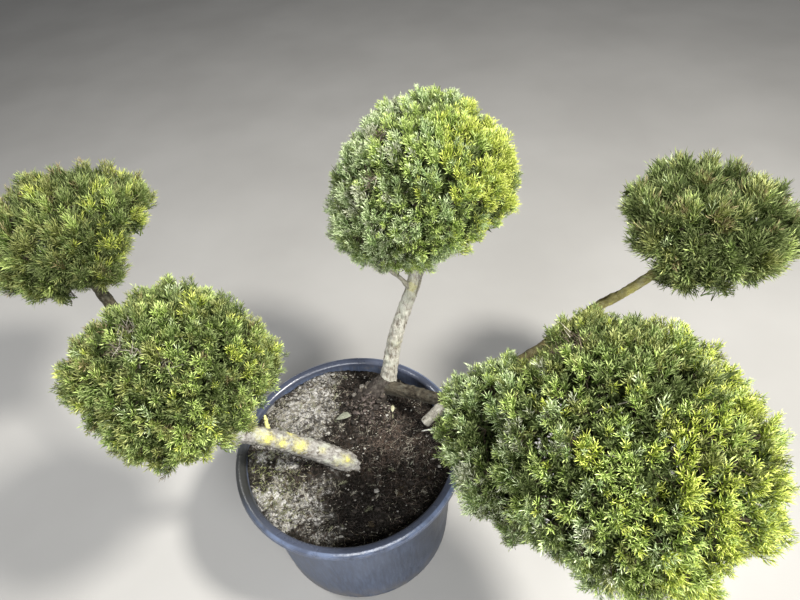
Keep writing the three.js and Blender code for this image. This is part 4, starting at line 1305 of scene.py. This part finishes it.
def make_ball(ball, seed, style="scale", length=(0.031, 0.043), others=(), grow=0.0, dents=(), swells=(), bare=(),
              spray_gap=SPRAY_GAP, clump_gap=CLUMP_GAP, relief=0.42, fan=0.28):
    rng = np.random.default_rng(seed)
    node = f"foliage_{ball}"
    centre, half = (np.array(v, float) * MM for v in BALLS[ball])
    clump_p, clump_n = skin_points(node, clump_gap, rng, others, TALLER)
    p, n = skin_points(node, spray_gap, rng, others)
    heart = centre - np.array([0, 0, half[2] * 0.22])

    # -- the branching: limb end, boughs, branches, then a twig for each clump
    end, end_dir, end_r = ENDS.get(ball, (heart, np.array([0, 0, 1.0]), 0.011))
    end = np.array(end)
    to_heart = heart - clump_p
    depth = np.linalg.norm(to_heart, axis=1)
    inward = to_heart / depth[:, None]
    wob = unit(rng.normal(size=clump_p.shape))
    twig_tip = clump_p + inward * np.minimum(0.042, depth * 0.4)[:, None]
    branch_seed = clump_p[thin_out(clump_p[rng.permutation(len(clump_p))], 0.10)] if len(clump_p) > 8 else clump_p
    order = rng.permutation(len(clump_p))
    branch_seed = clump_p[order][thin_out(clump_p[order], 0.095)]
    order = rng.permutation(len(branch_seed))
    bough_seed = branch_seed[order][thin_out(branch_seed[order], 0.20)]

    def tree_of(points):
        kd = KDTree(len(points))
        for k, q in enumerate(points):
            kd.insert(Vector(q), k)
        kd.balance()
        return kd

    def nearest(points, of):
        kd = tree_of(points)
        return np.array([kd.find(Vector(q))[1] for q in of])

    wood = Joined()
    bough_end = bough_seed + (heart - bough_seed) * 0.52 + rng.normal(size=bough_seed.shape) * 0.008
    bough_dir = unit(bough_seed - heart + np.array([0, 0, 0.02]))
    for e, d in zip(bough_end, bough_dir):
        start = unit(end_dir * 0.7 + unit(e - end) * 0.8)
        path = curve(end - end_dir * 0.012, start, e, d, 9)
        path[2:-1] += rng.normal(size=(6, 3)) * 0.0025
        thick = min(end_r * 0.62, 0.0075)
        wood.add(*tube(path, np.linspace(thick, 0.0038, 9), 7), 0)
    parent = nearest(bough_seed, branch_seed)
    branch_end = branch_seed + (heart - branch_seed) * 0.33 + rng.normal(size=branch_seed.shape) * 0.006
    branch_dir = unit(branch_seed - bough_end[parent])
    for e, d, k in zip(branch_end, branch_dir, parent):
        path = curve(bough_end[k], bough_dir[k], e, d, 6)
        path[1:-1] += rng.normal(size=(4, 3)) * 0.002
        wood.add(*tube(path, np.linspace(0.0036, 0.0022, 6), 6), 0)
    parent = nearest(branch_seed, clump_p)
    twig_mid = []
    for tip, q, k, w in zip(twig_tip, inward, parent, wob):
        path = curve(branch_end[k], branch_dir[k], tip, unit(-q + 0.35 * w), 4)
        wood.add(*tube(path, [0.0019, 0.0016, 0.0013, 0.0009], 4), rng.choice([0, 0, 0, 0, 1]))
        twig_mid.append(path[2])
    twig_mid = np.array(twig_mid)

    # -- sprays: each grows from its clump's twig, and the clump is a little dome of them
    clump = nearest(clump_p * TALLER, p * TALLER)
    across = p - clump_p[clump]
    across -= n * np.sum(across * n, 1, keepdims=True)
    away = np.linalg.norm(across * TALLER, axis=1)
    hollow = smooth(0.10, 0.65, value_noise(clump_p / (2.2 * clump_gap), seed + 50)) * 0.75 * clump_gap
    lift = (rng.uniform(-0.36, 0.18, len(clump_p)) * clump_gap - hollow)[clump]
    drop = np.minimum(relief * clump_gap * (away / (0.58 * clump_gap)) ** 1.7, 1.7 * relief * clump_gap)
    stray = (rng.random(len(p)) < 0.035) * rng.uniform(0.002, 0.008, len(p))
    tall = lift - drop + rng.normal(size=len(p)) * 0.0026 + 0.0065 + grow + stray
    seen_at = (p - centre) / half
    for sx, sy, reach, high in swells:
        tall += high * np.exp(-((seen_at @ R3 - sx) ** 2 + (seen_at @ U3 - sy) ** 2) / reach**2) * smooth(-0.55, -0.2, -seen_at @ A3)
    thin = np.zeros(len(p), bool)
    for place, reach, _, _ in bare:
        near = np.linalg.norm(p - np.array(place), axis=1) / reach
        tall -= 0.016 * np.exp(-(near**2))
        thin |= (near < 0.8) & (rng.random(len(p)) < 0.5)
    for place, reach, deep in dents:
        tall -= deep * np.exp(-(np.linalg.norm(p - np.array(place), axis=1) / reach) ** 2)
    top = 0.0135 + grow + sum((s[3] for s in swells), 0.0)
    tall = np.clip(tall, -0.040, top) + (rng.random(len(p)) < 0.006) * rng.uniform(0.005, 0.012, len(p))
    keep = ~thin
    p, n, clump, across, tall = p[keep], n[keep], clump[keep], across[keep], tall[keep]
    wild = unit(rng.normal(size=p.shape))
    lean = unit(rng.normal(size=clump_p.shape))[clump]
    up = np.array([0, 0, 1.0])
    under = smooth(0.1, -0.8, n[:, 2])[:, None]
    sway = np.stack([value_noise(p / 0.09, seed + k) for k in (1, 2, 3)], 1)
    d = unit(n + up * (0.80 + 0.20 * under) + sway * 0.30 + lean * 0.30 + wild * 0.22 + across * TALLER / (0.58 * clump_gap) * fan)
    size = rng.uniform(*length, len(p))
    tip = p + n * tall[:, None]
    base = tip - d * size[:, None]
    root = twig_mid[clump] * 0.35 + twig_tip[clump] * 0.65
    stem_v, stem_t = spikes(base, root, rng.uniform(0.0007, 0.0010, len(p)), rng.random(len(p)) * 6)
    wood.add(stem_v, stem_t, 0)
    # bare places, where thin dead twigs show between the sprays
    for place, reach, many, pale in bare:
        out_dir = unit(np.array(place) - heart)
        foot = np.array(place) - out_dir * 0.024 + rng.normal(size=(many, 3)) * reach * 0.45
        aim = unit(out_dir * 0.9 + unit(rng.normal(size=(many, 3))) * 0.9)
        bare_v, bare_t = spikes(foot, foot + aim * rng.uniform(0.018, 0.034, many)[:, None], rng.uniform(0.0007, 0.0013, many), rng.random(many) * 6)
        wood.add(bare_v, bare_t, np.repeat((rng.random(many) < pale).astype(int), 3))
    twigs = wood.piece(f"twigs_{ball}", [TWIG_BROWN, TWIG_PALE], slot="bark_brown")
    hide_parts(node)

    # -- tints, dealt out by clump and by spray
    q = (p - centre) / half
    noise = layered(p / 0.075, 2, seed + 20) + 0.22 * rng.normal(size=len(clump_p))[clump]
    shares = tint_shares(ball, q, noise)
    names = list(shares)
    weight = np.stack([np.clip(shares[k] * np.ones(len(p)), 0.0, None) for k in names], 1)
    total = np.cumsum(weight / weight.sum(1, keepdims=True), 1)
    draw = np.where(rng.random(len(p)) < 0.50, rng.random(len(p)), rng.random(len(clump_p))[clump])
    tint = (draw[:, None] > total).sum(1)
    if "brown" in names:
        # dead sprays come singly, not by the clump
        dead_one = rng.random(len(p)) < weight[:, names.index("brown")] / weight.sum(1)
        tint = np.where(tint == names.index("brown"), names.index("olive"), tint)
        tint = np.where(dead_one, names.index("brown"), tint)
    # what lies deep between the plumes gets little light and stays dark
    deep = smooth(-0.006, -0.026, tall)
    tint = np.where(rng.random(len(p)) < 0.72 * deep, names.index("dark"), tint)

    # -- instances of a few dozen templates, written out as plain triangles
    templates = [spray_template(rng, style) for _ in range(26)]
    which = rng.integers(0, len(templates), len(p))
    side = unit(np.cross(d, unit(rng.normal(size=d.shape))))
    other = np.cross(d, side)
    wide = rng.uniform(0.85, 1.2, len(p))
    gathered = {k: Joined() for k in range(len(names))}
    for w, (tv, tt, tips) in enumerate(templates):
        for k in range(len(names)):
            chosen = np.nonzero((which == w) & (tint == k))[0]
            if not len(chosen):
                continue
            s, wd = size[chosen][:, None, None], (size * wide)[chosen][:, None, None]
            v = (
                base[chosen][:, None]
                + side[chosen][:, None] * tv[None, :, 0:1] * wd
                + other[chosen][:, None] * tv[None, :, 1:2] * wd
                + d[chosen][:, None] * tv[None, :, 2:3] * s
            ).reshape(-1, 3)
            t = (np.arange(len(chosen))[:, None, None] * len(tv) + tt[None]).reshape(-1, 3)
            gathered[k].add(v, t, np.tile(tips, len(chosen)))
    for k, name in enumerate(names):
        if gathered[k].n:
            slot = "foliage_sage" if name in ("sage", "grey", "mint") else "foliage_green"
            piece = gathered[k].piece(f"sprays_{ball}_{name}", list(LEAF_MATERIALS[name]), slot=slot)
            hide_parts(node)

    # -- spent sprays deep inside, broad and near-black olive: dead foliage that blocks the light, its dark colour painted shade, which keeps the heart of the mass dark
    count = int(len(clump_p) * 8.0)
    k = rng.integers(0, len(clump_p), count)
    t = rng.uniform(0.0, 1.0, count)[:, None]
    seat = twig_mid[k] * (1 - t) + twig_tip[k] * t + rng.normal(size=(count, 3)) * 0.006
    seat = seat + inward[k] * rng.uniform(0.0, 0.040, count)[:, None]
    dead = Joined()
    for _ in range(4):
        dd = unit(-inward[k] * 0.6 + unit(rng.normal(size=(count, 3))))
        sd = unit(np.cross(dd, unit(rng.normal(size=(count, 3)))))
        ln = rng.uniform(0.024, 0.040, count)[:, None]
        wd = rng.uniform(0.0036, 0.0060, count)[:, None]
        fold = np.cross(dd, sd) * wd * 0.5
        quad = np.stack([seat, seat + dd * ln * 0.45 + sd * wd + fold, seat + dd * ln, seat + dd * ln * 0.45 - sd * wd + fold], 1)
        base_i = np.arange(count)[:, None] * 4
        tri = np.concatenate([base_i + [0, 1, 2], base_i + [0, 2, 3]], 1).reshape(-1, 3)
        dead.add(quad.reshape(-1, 3), tri, 0)
    spent = dead.piece(f"spent_{ball}", [SPENT_LEAF_PAINTED_SHADE], slot="foliage_green")
    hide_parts(node)
    return len(p), len(clump_p)


def side_twigs():
    """Short bare shoots on the limbs: a fork under the centre mass, a thin shoot beside it, snags on the boughs."""
    twigs = Joined()
    for points, radii, kind in (
        (((0.200, 0.208, 0.684), (0.183, 0.211, 0.708), (0.161, 0.214, 0.734), (0.138, 0.220, 0.764), (0.128, 0.230, 0.800)), (7.2, 5.2, 4.5, 4.0, 3.0), 1),
        (((0.208, 0.203, 0.650), (0.216, 0.200, 0.676), (0.225, 0.199, 0.704), (0.235, 0.201, 0.736), (0.246, 0.206, 0.780)), (1.6, 2.2, 2.3, 2.2, 1.6), 1),
        (((-0.177, -0.014, 0.494), (-0.179, -0.002, 0.510), (-0.181, 0.006, 0.523)), (5.2, 4.4, 2.2), 2),
        (((0.236, 0.221, 0.735), (0.262, 0.226, 0.760), (0.290, 0.232, 0.800)), (5.0, 4.0, 2.6), 0),
        (((-0.250, -0.070, 0.575), (-0.243, -0.085, 0.610), (-0.240, -0.100, 0.650)), (4.0, 3.2, 2.2), 1),
        (((0.345, 0.058, 0.470), (0.350, 0.052, 0.492), (0.358, 0.046, 0.512)), (3.4, 2.4, 1.0), 0),
    ):
        pts = np.array(points)
        u = np.linspace(0, 1, 14)
        at = np.linspace(0, 1, len(pts))
        path = np.stack([np.interp(u, at, pts[:, k]) for k in range(3)], 1)
        path[1:-1] += rng.normal(size=(12, 3)) * 0.0007
        rad = np.interp(u, at, radii) * MM * (1 + 0.10 * rng.normal(size=14))
        rad[-1] = 0.0002
        twigs.add(*tube(path, rad, 8), kind)
    twigs.piece("side_twigs", [TWIG_BROWN, TWIG_PALE, TWIG_YELLOW], soft=True, slot="bark_pale")


side_twigs()

SKIN = {ball: bvh_of(f"foliage_{ball}") for ball in ("right_front", "right_inner")}
WHOLE = {ball: SKIN.get(ball) or bvh_of(f"foliage_{ball}") for ball in BALLS}


def seen(ball, u, v):
    """Place on a mass that shows at a pixel of the photograph."""
    ray = (RIGHT * ((u - 400) / 599.38) - UP * ((v - 300) / 599.38) + AHEAD).normalized()
    hit = WHOLE[ball].ray_cast(camera.matrix_world.translation, ray)
    assert hit[0] is not None, (ball, u, v)
    return tuple(hit[0])


counts = {
    "centre": make_ball(
        "centre", 101, length=(0.030, 0.044), clump_gap=0.026, dents=((seen("centre", 394, 257), 0.034, 0.022),),
        bare=((seen("centre", 378, 128), 0.016, 26, 0.3), (seen("centre", 366, 178), 0.016, 26, 0.3)),
    ),
    "left_front": make_ball(
        "left_front", 202, clump_gap=0.026, relief=0.50,
        bare=((seen("left_front", 122, 321), 0.014, 20, 0.6), (seen("left_front", 127, 349), 0.012, 16, 0.6), (seen("left_front", 163, 360), 0.011, 14, 0.6),
              (seen("left_front", 109, 343), 0.012, 24, 0.3)),
    ),
    "left_rear": make_ball("left_rear", 303, style="feather", length=(0.036, 0.054), clump_gap=0.034, spray_gap=0.0098, relief=0.54, fan=0.36),
    "right_rear": make_ball("right_rear", 404, style="feather", length=(0.044, 0.066), clump_gap=0.044, spray_gap=0.0100, relief=0.56, fan=0.46),
    "right_front": make_ball(
        "right_front", 505, length=(0.029, 0.041), clump_gap=0.026, spray_gap=0.0086, relief=0.45, others=(SKIN["right_inner"],),
        dents=(((0.478, -0.225, 0.925), 0.032, 0.024), ((0.455, -0.500, 0.965), 0.030, 0.024)),
        swells=((0.62, -0.62, 0.38, 0.007),),
        bare=((seen("right_front", 572, 330), 0.018, 40, 0.1), (seen("right_front", 552, 345), 0.014, 30, 0.1)),
    ),
    "right_inner": make_ball(
        "right_inner", 606, length=(0.030, 0.042), clump_gap=0.026, relief=0.45, others=(SKIN["right_front"],), swells=((-0.60, -0.62, 0.50, 0.008),),
    ),
}
print("sprays and clumps", counts)

# ------------------------------------------------------------------ floor, sizes, end


def make_floor():
    n = 24
    g = np.linspace(-7.0, 7.0, n + 1)
    x, y = np.meshgrid(g, g, indexing="ij")
    verts = np.stack([x.ravel(), y.ravel(), np.full(x.size, -0.0002)], 1)
    i = np.arange(n)[:, None] * (n + 1)
    j = np.arange(n)[None, :]
    quads = np.stack([i + j, i + n + 1 + j, i + n + 2 + j, i + j + 1], -1).reshape(-1, 4)
    me = bpy.data.meshes.new("floor")
    me.from_pydata([tuple(v) for v in verts], [], [tuple(int(k) for k in q) for q in quads])
    s = Shader("pale floor")
    cloud = s.noise(1.6, 4.0, 0.5)
    s.finish(s.ramp(cloud, (0.35, (0.355, 0.345, 0.328)), (0.65, (0.390, 0.380, 0.362))), s.ramp(cloud, (0.3, 0.72), (0.7, 0.8)),
             s.bump(s.noise(180.0, 3.0, 0.6), 0.0006, 0.3))
    me.materials.append(s.m)
    floor = bpy.data.objects.new("floor", me)
    bpy.context.scene.collection.objects.link(floor)
    floor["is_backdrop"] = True


make_floor()
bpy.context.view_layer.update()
triangles = {
    o.name: sum(len(p.vertices) - 2 for p in o.data.polygons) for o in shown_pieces() if o.type == "MESH"
}
print("triangles", sum(triangles.values()), "largest piece", max(triangles.values()))
